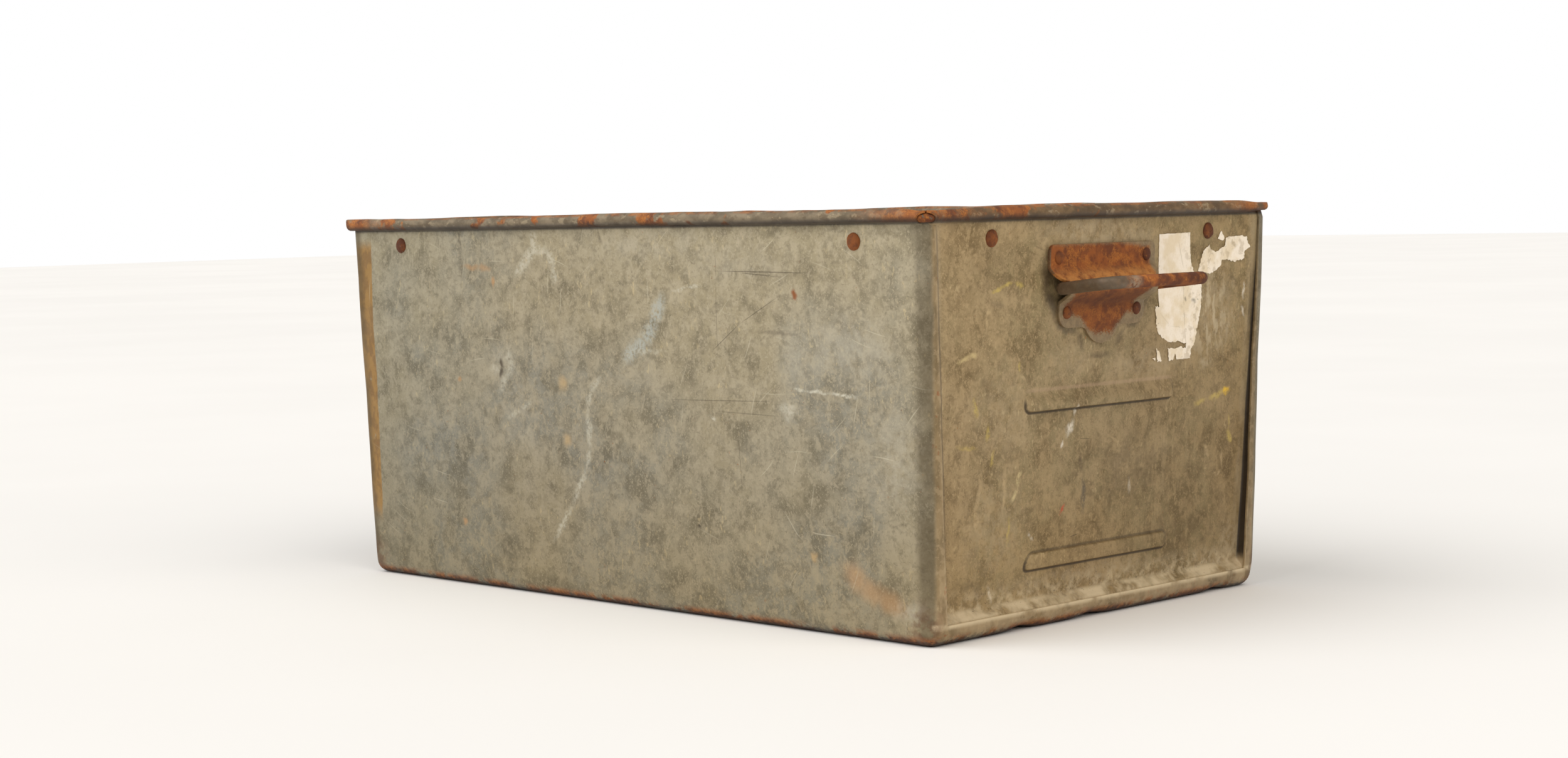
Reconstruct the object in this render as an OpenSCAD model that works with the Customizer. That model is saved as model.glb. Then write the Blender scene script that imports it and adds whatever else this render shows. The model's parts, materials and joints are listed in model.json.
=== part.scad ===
// Open-top stacking tote box in galvanised sheet steel, with a wired rolled rim,
// recessed ribbed end panels and a hinged drop handle on each end.
// The origin is at the centre of the base, +X towards the front end panel, +Z up.

/* [Box] */
// Length over the rolled rim
rim_length = 508; // [470:2:560]
// Width over the rolled rim
rim_width = 308; // [280:2:340]
// Height from the base to the top of the rim
box_height = 228.6; // [215:0.2:250]
// How far each end flange leans in between the rim and the base
end_lean = 5.5; // [4:0.5:7]
// How far each long side leans in between the rim and the base
side_lean = 4.2; // [3:0.2:6]
// Thickness of the galvanised sheet
sheet = 1.2; // [1:0.1:1.3]
// Outer radius of the bends along the base
base_bend = 8; // [7:1:10]
// Outer radius of the upright corner bends
corner_bend = 5; // [4:0.5:6]

/* [Rolled rim] */
// Diameter of the wire inside the rim
wire_d = 4.8; // [4.4:0.1:5.2]
// Bare wire left between the end of a roll and the corner
bare_wire = 10; // [9:0.5:14]
// Centre-line radius of the wire where it turns a corner
wire_bend = 5.5; // [4:0.5:6]
// Arc that the roll leaves open under the wire
roll_opening = 25; // [15:5:40]

/* [End panels] */
// Extra depth of the panel behind the flanges at the base
recess = 5.8; // [4:0.2:7]
// Width of the wrapped-round flange at the rim
flange_top = 6.3; // [6:0.1:8]
// Width of the wrapped-round flange at the base
flange_base = 11.6; // [10:0.2:14]
// Height of the flange along the bottom of an end
flange_foot = 11; // [10:0.5:13]
// Height that a rib stands out of the panel
rib_height = 2.2; // [1.5:0.1:3]
// Length of the upper rib
upper_rib_length = 131; // [110:1:140]
// Width of the upper rib
upper_rib_width = 11.5; // [10:0.5:14]
// Height of the upper rib's middle above the base
upper_rib_z = 122.8; // [110:0.2:130]
// Length of the lower rib
lower_rib_length = 125; // [110:1:140]
// Width of the lower rib
lower_rib_width = 9.8; // [9:0.2:14]
// Height of the lower rib's middle above the base
lower_rib_z = 36; // [30:0.5:42]

/* [Corner gussets] */
// Distance from the top of the rim down to the stacking seats
seat_drop = 10; // [9:0.5:12]
// Length of a gusset along each wall
gusset_leg = 60; // [56:1:70]
// Depth of the gusset's turned-down flanges
gusset_flange = 16; // [14:1:20]
// Distance of each rim rivet from the outer corner
rivet_inset = 52; // [48:1:54]

/* [Drop handles] */
// Height of the handle's pivot
pivot_height = 183.2; // [170:0.2:190]
// Distance of the pivot from the face of the panel
pivot_stand_off = 5.5; // [5.4:0.1:6]
// Sideways offset of the handle from the middle of the end
handle_offset = -2.5; // [-5:0.5:5]
// Diameter of the handle rod
rod_d = 7; // [6.8:0.1:7]
// Outer width of the handle loop
bail_width = 92.5; // [90:0.5:96]
// Distance from the pivot to the centre of the grip
bail_reach = 34.6; // [32:0.2:40]
// Angle of the raised handle above the horizontal
bail_raise = 5.7; // [4:0.1:5.7]
// Thickness of the handle plate
plate_t = 1.6; // [1.4:0.1:1.6]
// Width of the plate across its upper wings
wing_width = 92.7; // [91:0.1:96]
// Width of the plate's lower part
skirt_width = 75; // [70:1:78]

/* [Rivets] */
// Head diameter of the rivets under the rim
rim_rivet_head = 9.5; // [8:0.5:10]
// Head diameter of the handle plate's rivets
plate_rivet_head = 7.2; // [6:0.2:8]

/* [Hidden] */
$fn = 64;
fit_gap = 0.05;
roll_bore = wire_d / 2 + 0.1;
roll_r = roll_bore + sheet;
wire_z = box_height - roll_r;
wire_x = rim_length / 2 - roll_r;
wire_y = rim_width / 2 - roll_r;
wall_y = wire_y - roll_bore;
field_x = wire_x - roll_bore;
flange_x = field_x + sheet;
roll_end_x = rim_length / 2 - bare_wire;
roll_end_y = rim_width / 2 - bare_wire;
corner_top = wire_z - roll_r - 0.2;
ribs = [[upper_rib_length, upper_rib_width, upper_rib_z], [lower_rib_length, lower_rib_width, lower_rib_z]];

side_angle = atan(side_lean / wire_z);
field_angle = atan((end_lean + recess) / wire_z);
opening_top = wall_y - flange_top;
opening_base = wall_y - side_lean - flange_base;
opening_angle = atan((opening_top - opening_base) / wire_z);

seat_z = box_height - seat_drop;
rim_rivet_z = seat_z - 7;
rim_rivet_x = flange_x - rivet_inset;
rim_rivet_y = wall_y - rivet_inset;
shank_r = 2.4;
plate_shank_r = 1.9;
hole_gap = 0.05;

rod_r = rod_d / 2;
barrel_bore = rod_r + 0.3;
barrel_r = barrel_bore + plate_t;
leg_y = bail_width / 2 - rod_r;
pivot_bend = 4;
grip_bend = 6.5;
barrel_half = leg_y - pivot_bend - 0.35;
ramp_top = 11.2;
ramp_foot = 9.2;
plate_z = pivot_height + pivot_stand_off * sin(field_angle);
pivot_x = field_at(plate_z) + pivot_stand_off * cos(field_angle);

wing_top = 23.6;
skirt_foot = 22;
tongue_foot = 31.6;
tongue_r = 15.8;
tongue_fillet = 4;
upper_rivet = [38.6, 16.4];
lower_rivet = [30.8, -13.6];
paper_t = 0.25;

steel = [0.55, 0.53, 0.46];
warm_steel = [0.52, 0.47, 0.36];
rust = [0.47, 0.3, 0.19];
orange_rust = [0.55, 0.31, 0.16];
paper = [0.92, 0.86, 0.76];

// Outer face of the end panel, of the end flange and of the long wall at height z
function field_at(z) = field_x - (end_lean + recess) * (wire_z - z) / wire_z;
function flange_at(z) = flange_x - end_lean * (wire_z - z) / wire_z;
function wall_at(z) = wall_y - side_lean * (wire_z - z) / wire_z;
// Half width of the opening between the end flanges at height z
function opening_at(z) = opening_base + (opening_top - opening_base) * z / wire_z;
// Angle of the line from point p that touches a circle of radius r about c, on side s
function touch_angle(p, c, r, s) =
  let (d = p - c) atan2(d[1], d[0]) - s * acos(r / norm(d));
function polar(r, a) = [r * cos(a), r * sin(a)];

// Local frames on the sloping faces: X (or Y) points out of the face, Z runs up it
module on_field(z) {
  translate([field_at(z), 0, z]) rotate([0, field_angle, 0]) children();
}

module on_wall(z) {
  translate([0, wall_at(z), z]) rotate([-side_angle, 0, 0]) children();
}

module at_corner(x_side, y_side) {
  mirror([x_side < 0 ? 1 : 0, 0, 0]) mirror([0, y_side < 0 ? 1 : 0, 0]) children();
}

module at_rear() {
  rotate([0, 0, 180]) children();
}

// Extrudes an outline drawn in (y, z) along X, from x = 0 to x = depth
module face_extrude(depth) {
  rotate([90, 0, 90]) linear_extrude(depth) children();
}

// Extrudes a section drawn in (x, z) along Y, centred on y = 0
module run_along_y(length) {
  rotate([90, 0, 0]) linear_extrude(length, center = true) children();
}

module rounded_rectangle(width, height, r) {
  square([width - 2 * r, height], center = true);
  square([width, height - 2 * r], center = true);
  for (x = [-1, 1], y = [-1, 1])
    translate([x * (width / 2 - r), y * (height / 2 - r)]) circle(r);
}

// A straight rod or wire bar along Y, with its middle at x
module bar_along_y(x, half_length, r) {
  translate([x, 0, 0]) rotate([90, 0, 0]) cylinder(r = r, h = 2 * half_length, center = true);
}

module bar_along_x(y, from, to, r) {
  translate([from, y, 0]) rotate([0, 90, 0]) cylinder(r = r, h = to - from);
}

// A quarter turn of rod about (x, y), starting at angle a
module rod_bend(x, y, bend, r, a) {
  translate([x, y, 0]) rotate([0, 0, a]) rotate_extrude(angle = 90) translate([bend, 0]) circle(r);
}

// Rivet along +Z: the domed head sits on z = 0, the shank fills the grip below it
module rivet(head_d, grip, r) {
  head_r = head_d / 2;
  head_h = head_d * 0.27;
  dome_r = (head_r * head_r + head_h * head_h) / (2 * head_h);
  tail_r = r * 1.55;
  tail_h = r * 0.7;
  rotate_extrude() {
    intersection() {
      translate([0, head_h - dome_r]) circle(dome_r);
      square([head_r, head_h]);
    }
    translate([0, -grip]) square([r, grip]);
    translate([0, -grip - tail_h]) square([tail_r, tail_h]);
  }
}

// Section of the rim's roll about the wire, with the wall rising to it on the left
module roll_section() {
  far = 2 * roll_r;
  difference() {
    circle(roll_r);
    circle(roll_bore);
    polygon([[0, 0], polar(far, 180), polar(far, 180 + roll_opening)]);
  }
}

// The box's outer skin, or the space inside it when inset is the sheet's thickness
module tapered_box(inset, above) {
  foot_r = base_bend - inset;
  hull() for (x = [-1, 1], y = [-1, 1]) {
    translate([x * (flange_x - corner_bend), y * (wall_y - corner_bend), wire_z - 0.1])
      cylinder(r = corner_bend - inset, h = 0.1 + above, $fn = 32);
    translate([x * (flange_at(base_bend) - base_bend), y * (wall_at(base_bend) - base_bend), base_bend])
      rotate_extrude($fn = 32) intersection() {
        circle(foot_r);
        translate([0, -foot_r]) square(foot_r);
      }
  }
}

// Base, long sides and their rolls, bent round each end as a flange
module body_wrap() {
  color(steel) {
    difference() {
      tapered_box(0, 0);
      tapered_box(sheet, 1);
      translate([-rim_length, 0, 0]) face_extrude(2 * rim_length)
        polygon([for (s = [-1, 1], end = [0, 1])
          let (z = (s < 0) == (end == 0) ? flange_foot : box_height) [s * opening_at(z), z]]);
      for (x = [-1, 1], y = [-1, 1]) at_corner(x, y) {
        translate([roll_end_x, 0, corner_top]) cube([rim_length, rim_width, box_height]);
        on_wall(rim_rivet_z) translate([rim_rivet_x, 0, 0]) rotate([90, 0, 0])
          cylinder(r = shank_r + hole_gap, h = 4 * sheet, center = true);
      }
    }
    for (y = [-1, 1]) at_corner(1, y) translate([-roll_end_x, wire_y, wire_z])
      rotate([90, 0, 90]) linear_extrude(2 * roll_end_x) roll_section();
  }
}

module rib(size, grow, low, high) {
  on_field(size[2]) translate([low, 0, 0]) face_extrude(high - low)
    rounded_rectangle(size[0] + 2 * grow, size[1] + 2 * grow, 4 + grow);
}

// The side lip of the recess, from the panel out to the back of the flange
module recess_lip() {
  top = wire_z - 12;
  translate([0, opening_at(0) + fit_gap + 0.3, 0]) rotate([-opening_angle, 0, 0])
    rotate([90, 0, 0]) translate([0, 0, -sheet]) linear_extrude(sheet)
      polygon([[field_at(top) - sheet / 2, top], [flange_at(top) - sheet - fit_gap, top],
        [flange_at(flange_foot) - sheet - fit_gap, flange_foot],
        [field_at(flange_foot) - sheet / 2, flange_foot]]);
}

// The sloping foot of the panel, which laps behind the flange along the base
module panel_foot() {
  lap = flange_foot - 2.8;
  knee = flange_foot - 0.5;
  slope_top = flange_foot + 5;
  back = flange_at(knee) - sheet - fit_gap;
  lap_back = flange_at(lap) - sheet - fit_gap;
  run_along_y(2 * opening_at(flange_foot))
    polygon([[field_at(slope_top), slope_top], [back, knee], [lap_back, lap],
      [lap_back - sheet, lap], [back - sheet, knee - sheet / 2],
      [field_at(slope_top) - sheet, slope_top - sheet / 2]]);
}

module end_panel() {
  foot_z = flange_foot + 4.4;
  field_drop = (wire_z - foot_z) / cos(field_angle);
  edge = sheet + fit_gap + 0.3;
  color(warm_steel) difference() {
    union() {
      on_field(wire_z) translate([-sheet, 0, 0]) face_extrude(sheet)
        polygon([[-opening_at(foot_z) - edge, -field_drop], [opening_at(foot_z) + edge, -field_drop],
          [opening_at(wire_z) + edge, 0], [-opening_at(wire_z) - edge, 0]]);
      for (y = [-1, 1]) at_corner(1, y) recess_lip();
      panel_foot();
      for (size = ribs) rib(size, 0, -sheet / 2, rib_height);
      translate([wire_x, 0, wire_z]) run_along_y(2 * roll_end_y) roll_section();
    }
    for (size = ribs) rib(size, -sheet, -2 * sheet, rib_height - sheet);
    for (y = [-1, 1]) on_field(rim_rivet_z) translate([0, y * rim_rivet_y, 0])
      rotate([0, 90, 0]) cylinder(r = shank_r + hole_gap, h = 4 * sheet, center = true);
    at_plate_rivets() cylinder(r = plate_shank_r + hole_gap, h = 6 * sheet, center = true);
  }
}

module rim_wire() {
  r = wire_d / 2;
  color(rust) translate([0, 0, wire_z]) for (s = [-1, 1]) {
    bar_along_x(s * wire_y, -wire_x + wire_bend, wire_x - wire_bend, r);
    bar_along_y(s * wire_x, wire_y - wire_bend, r);
    rod_bend(s * (wire_x - wire_bend), s * (wire_y - wire_bend), wire_bend, r, s > 0 ? 0 : 180);
    rod_bend(s * (wire_x - wire_bend), -s * (wire_y - wire_bend), wire_bend, r, s > 0 ? 270 : 90);
  }
}

// Triangular stacking seat with a flange turned down along each wall
module corner_gusset(x_side, y_side) {
  cut = 9;
  x = field_at(seat_z) - sheet - 0.1;
  y = wall_at(seat_z) - sheet - 0.1;
  drop = seat_z - rim_rivet_z;
  color(steel) at_corner(x_side, y_side) difference() {
    union() {
      translate([0, 0, seat_z - sheet]) linear_extrude(sheet)
        polygon([[x, y - gusset_leg], [x, y - cut], [x - cut, y], [x - gusset_leg, y]]);
      on_field(rim_rivet_z) translate([-2 * sheet - fit_gap, y - gusset_leg, drop - gusset_flange])
        cube([sheet, gusset_leg - cut, gusset_flange - sheet / 2]);
      on_wall(rim_rivet_z) translate([x - gusset_leg, -2 * sheet - fit_gap, drop - gusset_flange])
        cube([gusset_leg - cut, sheet, gusset_flange - sheet / 2]);
    }
    on_field(rim_rivet_z) translate([0, rim_rivet_y, 0]) rotate([0, 90, 0])
      cylinder(r = shank_r + hole_gap, h = 6 * sheet, center = true);
    on_wall(rim_rivet_z) translate([rim_rivet_x, 0, 0]) rotate([90, 0, 0])
      cylinder(r = shank_r + hole_gap, h = 6 * sheet, center = true);
  }
}

// The two rivets that hold one gusset, through the long wall and the end panel
module corner_rivets(x_side, y_side) {
  grip = 2 * sheet + fit_gap;
  color(rust) at_corner(x_side, y_side) {
    on_field(rim_rivet_z) translate([0, rim_rivet_y, 0]) rotate([0, 90, 0])
      rivet(rim_rivet_head, grip, shank_r);
    on_wall(rim_rivet_z) translate([rim_rivet_x, 0, 0]) rotate([-90, 0, 0])
      rivet(rim_rivet_head, grip, shank_r);
  }
}

// Places +Z out of the panel at each of the handle plate's four rivets
module at_plate_rivets() {
  on_field(plate_z) for (s = [-1, 1], spot = [upper_rivet, lower_rivet])
    translate([0, handle_offset + s * spot[0], spot[1]]) rotate([0, 90, 0]) children();
}

// One half of the barrel's section, above the pivot for s = 1 and below it for s = -1
module barrel_half_section(s, start, bore) {
  c = [pivot_stand_off, 0];
  outer = touch_angle([plate_t, s * start], c, barrel_r, s);
  slope = polar(1, outer + s * 90);
  touch = c + polar(barrel_bore, outer);
  inner_start = touch + slope * (-touch[0] / slope[0]);
  if (bore) {
    polygon([[0, 0], inner_start, touch, c]);
  } else {
    polygon([[0, 0], [0, s * start], [plate_t, s * start], c + polar(barrel_r, outer), c]);
  }
}

module barrel_section() {
  difference() {
    union() {
      translate([pivot_stand_off, 0]) circle(barrel_r);
      barrel_half_section(1, ramp_top, false);
      barrel_half_section(-1, ramp_foot, false);
    }
    translate([pivot_stand_off, 0]) circle(barrel_bore);
    barrel_half_section(1, ramp_top, true);
    barrel_half_section(-1, ramp_foot, true);
  }
}

// The upper ramp alone, which runs out over the handle's legs and stops them
module stop_section() {
  edge = 6.9;
  difference() {
    barrel_section();
    translate([-1, -20]) square([30, 20 + rod_r + 0.6]);
    translate([edge, -1]) square(20);
  }
}

// Lower outline of the plate in (y, z): a skirt with an ogee tongue
module skirt_outline() {
  corner = 8;
  tongue_z = -tongue_foot + tongue_r;
  reach = tongue_r + tongue_fillet;
  fillet_z = -skirt_foot - tongue_fillet;
  fillet_y = sqrt(pow(reach, 2) - pow(tongue_z - fillet_z, 2));
  translate([-skirt_width / 2, -skirt_foot + corner])
    square([skirt_width, skirt_foot - corner - ramp_foot]);
  translate([-skirt_width / 2 + corner, -skirt_foot]) square([skirt_width - 2 * corner, corner + 1]);
  for (s = [-1, 1]) translate([s * (skirt_width / 2 - corner), -skirt_foot + corner]) circle(corner);
  translate([0, tongue_z]) intersection() {
    circle(tongue_r);
    translate([-tongue_r, -tongue_r]) square([2 * tongue_r, tongue_r]);
  }
  difference() {
    polygon([[-fillet_y, -skirt_foot], [0, tongue_z], [fillet_y, -skirt_foot],
      [fillet_y * tongue_r / reach, tongue_z + (fillet_z - tongue_z) * tongue_r / reach],
      [-fillet_y * tongue_r / reach, tongue_z + (fillet_z - tongue_z) * tongue_r / reach]]);
    for (s = [-1, 1]) translate([s * fillet_y, fillet_z]) circle(tongue_fillet);
  }
}

module handle_plate() {
  wing_height = wing_top - ramp_top;
  color(orange_rust) on_field(plate_z) translate([0, handle_offset, 0]) difference() {
    union() {
      face_extrude(plate_t) {
        translate([0, ramp_top + wing_height / 2 - 2]) rounded_rectangle(wing_width, wing_height + 4, 4);
        skirt_outline();
      }
      run_along_y(2 * barrel_half) barrel_section();
      run_along_y(wing_width) stop_section();
    }
    translate([-1, -barrel_half, -ramp_foot]) cube([1 + fit_gap, 2 * barrel_half, ramp_foot]);
    run_along_y(2 * barrel_half) barrel_half_section(1, ramp_top, true);
    for (s = [-1, 1], spot = [upper_rivet, lower_rivet])
      translate([0, s * spot[0], spot[1]]) rotate([0, 90, 0])
        cylinder(r = plate_shank_r + hole_gap, h = 6 * sheet, center = true);
  }
}

module plate_rivets() {
  color(rust) at_plate_rivets() translate([0, 0, plate_t])
    rivet(plate_rivet_head, plate_t + sheet, plate_shank_r);
}

// Closed loop of round rod: the pivot bar runs in the plate's barrel
module bail() {
  color(rust) translate([pivot_x, handle_offset, pivot_height]) rotate([0, -bail_raise, 0]) {
    bar_along_y(0, leg_y - pivot_bend, rod_r);
    bar_along_y(bail_reach, leg_y - grip_bend, rod_r);
    for (s = [-1, 1]) {
      bar_along_x(s * leg_y, pivot_bend, bail_reach - grip_bend, rod_r);
      rod_bend(pivot_bend, s * (leg_y - pivot_bend), pivot_bend, rod_r, s > 0 ? 90 : 180);
      rod_bend(bail_reach - grip_bend, s * (leg_y - grip_bend), grip_bend, rod_r, s > 0 ? 0 : 270);
    }
  }
}

module label(outline) {
  color(paper) on_field(plate_z) face_extrude(paper_t) polygon(outline);
}

module label_large_scrap() {
  label([[49, 27], [78.5, 27], [79, 15], [83, 5], [91, -3], [90.5, -17], [87, -32], [82, -45],
    [61, -45], [61, -35], [53, -31], [48, -22], [49.5, -14]]);
}

module label_small_scrap() {
  label([[88, 4], [92, 17], [99, 18], [104, 15], [112, 18], [115, 24], [133, 24], [136, 18],
    [132, 11], [122, 9], [110, 11], [104, 4], [95, 1]]);
}

body_wrap();
end_panel();  // front_end_panel
at_rear() end_panel();  // rear_end_panel
rim_wire();
corner_gusset(1, -1);  // gusset_front_left
corner_gusset(1, 1);  // gusset_front_right
corner_gusset(-1, 1);  // gusset_rear_left
corner_gusset(-1, -1);  // gusset_rear_right
corner_rivets(1, -1);  // rivets_front_left
corner_rivets(1, 1);  // rivets_front_right
corner_rivets(-1, 1);  // rivets_rear_left
corner_rivets(-1, -1);  // rivets_rear_right
handle_plate();  // front_handle_plate
at_rear() handle_plate();  // rear_handle_plate
plate_rivets();  // front_plate_rivets
at_rear() plate_rivets();  // rear_plate_rivets
bail();  // front_bail
at_rear() bail();  // rear_bail
label_large_scrap();
label_small_scrap();
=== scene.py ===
"""Looks of a weathered galvanised stacking tote box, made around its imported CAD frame.

Lengths here are millimetres in the part's own frame; new_piece() turns them into metres.
The front end (+X) carries the paper scraps, and the rear end is the front turned round.
"""

import json
import math
import random
from functools import partialmethod, reduce

import bpy
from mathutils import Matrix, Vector, geometry, noise


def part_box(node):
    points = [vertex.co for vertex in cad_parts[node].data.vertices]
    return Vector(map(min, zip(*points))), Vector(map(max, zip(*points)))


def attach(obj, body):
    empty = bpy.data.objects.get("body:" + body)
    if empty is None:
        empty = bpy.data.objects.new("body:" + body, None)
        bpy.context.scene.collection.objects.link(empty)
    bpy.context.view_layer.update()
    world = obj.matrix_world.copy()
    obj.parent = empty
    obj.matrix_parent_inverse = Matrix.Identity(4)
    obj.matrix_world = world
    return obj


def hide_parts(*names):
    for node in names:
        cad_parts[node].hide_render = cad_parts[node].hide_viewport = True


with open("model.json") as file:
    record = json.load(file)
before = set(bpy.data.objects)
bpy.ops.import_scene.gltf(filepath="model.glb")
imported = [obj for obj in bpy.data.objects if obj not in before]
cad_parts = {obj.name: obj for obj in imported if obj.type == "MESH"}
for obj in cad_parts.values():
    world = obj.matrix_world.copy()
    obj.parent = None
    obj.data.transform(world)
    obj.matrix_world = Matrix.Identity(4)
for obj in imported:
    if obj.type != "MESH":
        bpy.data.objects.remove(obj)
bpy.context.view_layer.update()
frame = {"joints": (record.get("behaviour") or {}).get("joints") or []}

MM = 0.001


def box_mm(node):
    """Lowest and highest corners of a CAD node in millimetres."""
    low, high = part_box(node)
    return [c / MM for c in low], [c / MM for c in high]


# ---- Sizes, from the frame where it holds them ----
WIRE_LOW, WIRE_HIGH = box_mm("rim_wire")
WIRE_R = (WIRE_HIGH[2] - WIRE_LOW[2]) / 2
WIRE_X, WIRE_Y, WIRE_Z = (c - WIRE_R for c in WIRE_HIGH)
WIRE_BEND = 5.5
SHEET = 1.2
ROLL_R = box_mm("body_wrap")[1][2] - WIRE_Z
ROLL_BORE = ROLL_R - SHEET
ROLL_END = 10
ROLL_GAP = math.radians(25)
WALL_Y = WIRE_Y - ROLL_BORE
FIELD_X = WIRE_X - ROLL_BORE
FLANGE_X = FIELD_X + SHEET
ROLL_END_X = WIRE_X + ROLL_R - ROLL_END
ROLL_END_Y = WIRE_Y + ROLL_R - ROLL_END
CORNER_TOP = WIRE_Z - ROLL_R - 0.2
END_LEAN = 5.5
SIDE_LEAN = 4.2
RECESS = 5.8
CORNER_BEND = 5
CORNER_STEPS = 6
BASE_BEND = 8
FLANGE_FOOT = 11
OPENING_TOP = WALL_Y - 6.3
OPENING_BASE = WALL_Y - SIDE_LEAN - 11.6
RIBS = ((65.5, 5.75, 122.8), (62.5, 4.9, 36))
RIB_HEIGHT = 2.2
SEAT_Z = box_mm("gusset_front_left")[1][2]
GUSSET_LEG = 60
GUSSET_FLANGE = 16
RIVET_INSET = 52
RIM_RIVET_Z = SEAT_Z - 7
PLATE_T = 1.6
PIVOT_X, HANDLE_Y, PIVOT_Z = (
    c / MM for c in next(j for j in frame["joints"] if j["child"] == "front_bail")["pos_m"])
PIVOT_STAND_OFF = 5.5
ROD_R = 3.5
BAIL_HALF = (box_mm("front_bail")[1][1] - box_mm("front_bail")[0][1]) / 2
BAIL_REACH = 34.6
BAIL_RAISE = math.radians(5.7)
FLANGE_LEAN = END_LEAN / WIRE_Z
WALL_LEAN = SIDE_LEAN / WIRE_Z
FIELD_LEAN = (END_LEAN + RECESS) / WIRE_Z
FIELD_ANGLE = math.atan(FIELD_LEAN)
OPENING_LEAN = (OPENING_TOP - OPENING_BASE) / WIRE_Z
FLANGE_BASE = FLANGE_X - END_LEAN
WALL_BASE = WALL_Y - SIDE_LEAN
FIELD_BASE = FIELD_X - END_LEAN - RECESS


# ---- Shape functions of the box ----
def flange_at(z):
    return FLANGE_BASE + FLANGE_LEAN * z


def wall_at(z):
    return WALL_BASE + WALL_LEAN * z


def field_at(z):
    return FIELD_BASE + FIELD_LEAN * z


def opening_at(z):
    return OPENING_BASE + OPENING_LEAN * z


def ease(low, high, v):
    """0 below low, 1 above high, smooth between."""
    t = min(1, max(0, (v - low) / (high - low)))
    return t * t * (3 - 2 * t)


def ripple(a, b, size, seed):
    """Smooth noise from about -1 to 1 whose waves are about size long."""
    return noise.noise(Vector((a / size, b / size, seed)))


def bell(distance, width):
    return math.exp(-(distance / width) ** 2)


def knock(p):
    """Moves a point of the fixed sheet metal as years of knocks have: buckled walls, a wavy rim."""
    x, y, z = p
    clear_of_base = ease(2, 16, z)
    side = ease(120, 138, abs(y)) * clear_of_base
    near_rim = ease(180, 222, z)
    push_y = side * (1.5 * ripple(x, z, 120, 3) * (1 - 0.7 * near_rim) + 0.5 * ripple(x, z, 42, 8))
    near_handle = bell(abs(y) - 5, 75) * bell(z - 180, 42)
    end = ease(214, 232, abs(x)) * clear_of_base * (1 - near_handle)
    push_x = end * (1.1 * ripple(y, z, 95, 5) * (1 - 0.7 * near_rim) + 0.3 * ripple(y, z, 38, 6))
    if x < 0:
        push_x += end * 0.6 * ripple(y, z, 60, 15)
    lift = ease(186, 223, z) * (0.9 * ripple(x, y, 62, 11) + 0.35 * ripple(x, y, 23, 12))
    lift -= 1.2 * ease(196, 222, z) * bell(y + 140, 48) * ease(236, 246, x)
    for centre, width, rise in ((-68, 9, 2.2), (-8, 11, 1.8), (109, 8, 1.6)):
        lift += rise * bell(y - centre, width) * ease(10, 3, z) * ease(222, 238, x)
    if y < 0:
        dent = math.hypot(x + 101, z - 139)
        push_y += side * (-1.6 * bell(dent, 5) + 0.5 * bell(dent - 9, 5))
        push_y -= side * 1.2 * bell(x - 20, 34) * bell(z - 222, 6)
    if x > 0 and y > 0:
        sprung = 3.0 + 1.2 * ease(120, 210, z)
        push_y += sprung * ease(128, 146, y) * ease(225, 244, x) * clear_of_base * ease(223.5, 218, z)
        lift -= 0.55 * (z - WIRE_Z) * ease(372, 395, x + y) * ease(217, 221, z)
    if x > 0 and y < 0:
        dent = bell(z - 171, 7) * ease(238, 247, x) * ease(138, 146, -y)
        push_x -= 1.3 * dent
        push_y -= dent
    return Vector((x + math.copysign(push_x, x), y + math.copysign(push_y, y), z + lift))


# ---- Mesh building ----
def stations(start, *stretches):
    """Positions from start along stretches of (end, step)."""
    places = [start]
    for end, step in stretches:
        first = places[-1]
        count = max(1, round(abs(end - first) / step))
        places += [first + (end - first) * (i + 1) / count for i in range(count)]
    return places


class Skin:
    """Points and faces of an open sheet, where points that fall together are one."""

    def __init__(self):
        self.points, self.faces, self.known = [], [], {}

    def point(self, p):
        key = tuple(round(c, 2) for c in p)
        if key not in self.known:
            self.known[key] = len(self.points)
            self.points.append(Vector(p))
        return self.known[key]

    def face(self, corners):
        ids = [self.point(p) for p in corners]
        ids = [v for i, v in enumerate(ids) if v != ids[i - 1]]
        if len(set(ids)) == len(ids) and len(ids) > 2:
            self.faces.append(ids)

    def grid(self, rows, keep=lambda row, column: True, wrap=False):
        """Quads between rows; walking down the rows and along a row turns right about the outside."""
        count = len(rows[0]) if wrap else len(rows[0]) - 1
        for r in range(len(rows) - 1):
            for c in range(count):
                d = (c + 1) % len(rows[0])
                if keep(r, c):
                    self.face([rows[r][c], rows[r + 1][c], rows[r + 1][d], rows[r][d]])


def apply_modifiers(piece):
    depsgraph = bpy.context.evaluated_depsgraph_get()
    mesh = bpy.data.meshes.new_from_object(piece.evaluated_get(depsgraph))
    old = piece.data
    piece.modifiers.clear()
    piece.data = mesh
    bpy.data.meshes.remove(old)


def new_piece(name, skin, material, body, nodes, thickness=0, rounding=0, smooth=40):
    """Makes an object of a skin, gives it the sheet's thickness behind its face, and puts it on a body."""
    mesh = bpy.data.meshes.new(name)
    mesh.from_pydata([p * MM for p in skin.points], [], skin.faces)
    piece = bpy.data.objects.new(name, mesh)
    bpy.context.scene.collection.objects.link(piece)
    if thickness:
        solid = piece.modifiers.new("thickness", "SOLIDIFY")
        solid.thickness = thickness * MM
        solid.offset = -1
    if rounding:
        bevel = piece.modifiers.new("edges", "BEVEL")
        bevel.width = rounding * MM
        bevel.segments = 2
        bevel.limit_method = "ANGLE"
        bevel.angle_limit = math.radians(55)
    apply_modifiers(piece)
    piece.data.name = name
    piece.data.materials.clear()
    piece.data.materials.append(material)
    piece.data.shade_smooth()
    piece.data.set_sharp_from_angle(angle=math.radians(smooth))
    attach(piece, body)
    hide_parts(*nodes)
    return piece


def turned(points):
    """The same points at the rear end: half a turn about the Z axis."""
    return [Vector((-p[0], -p[1], p[2])) for p in points]


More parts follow.
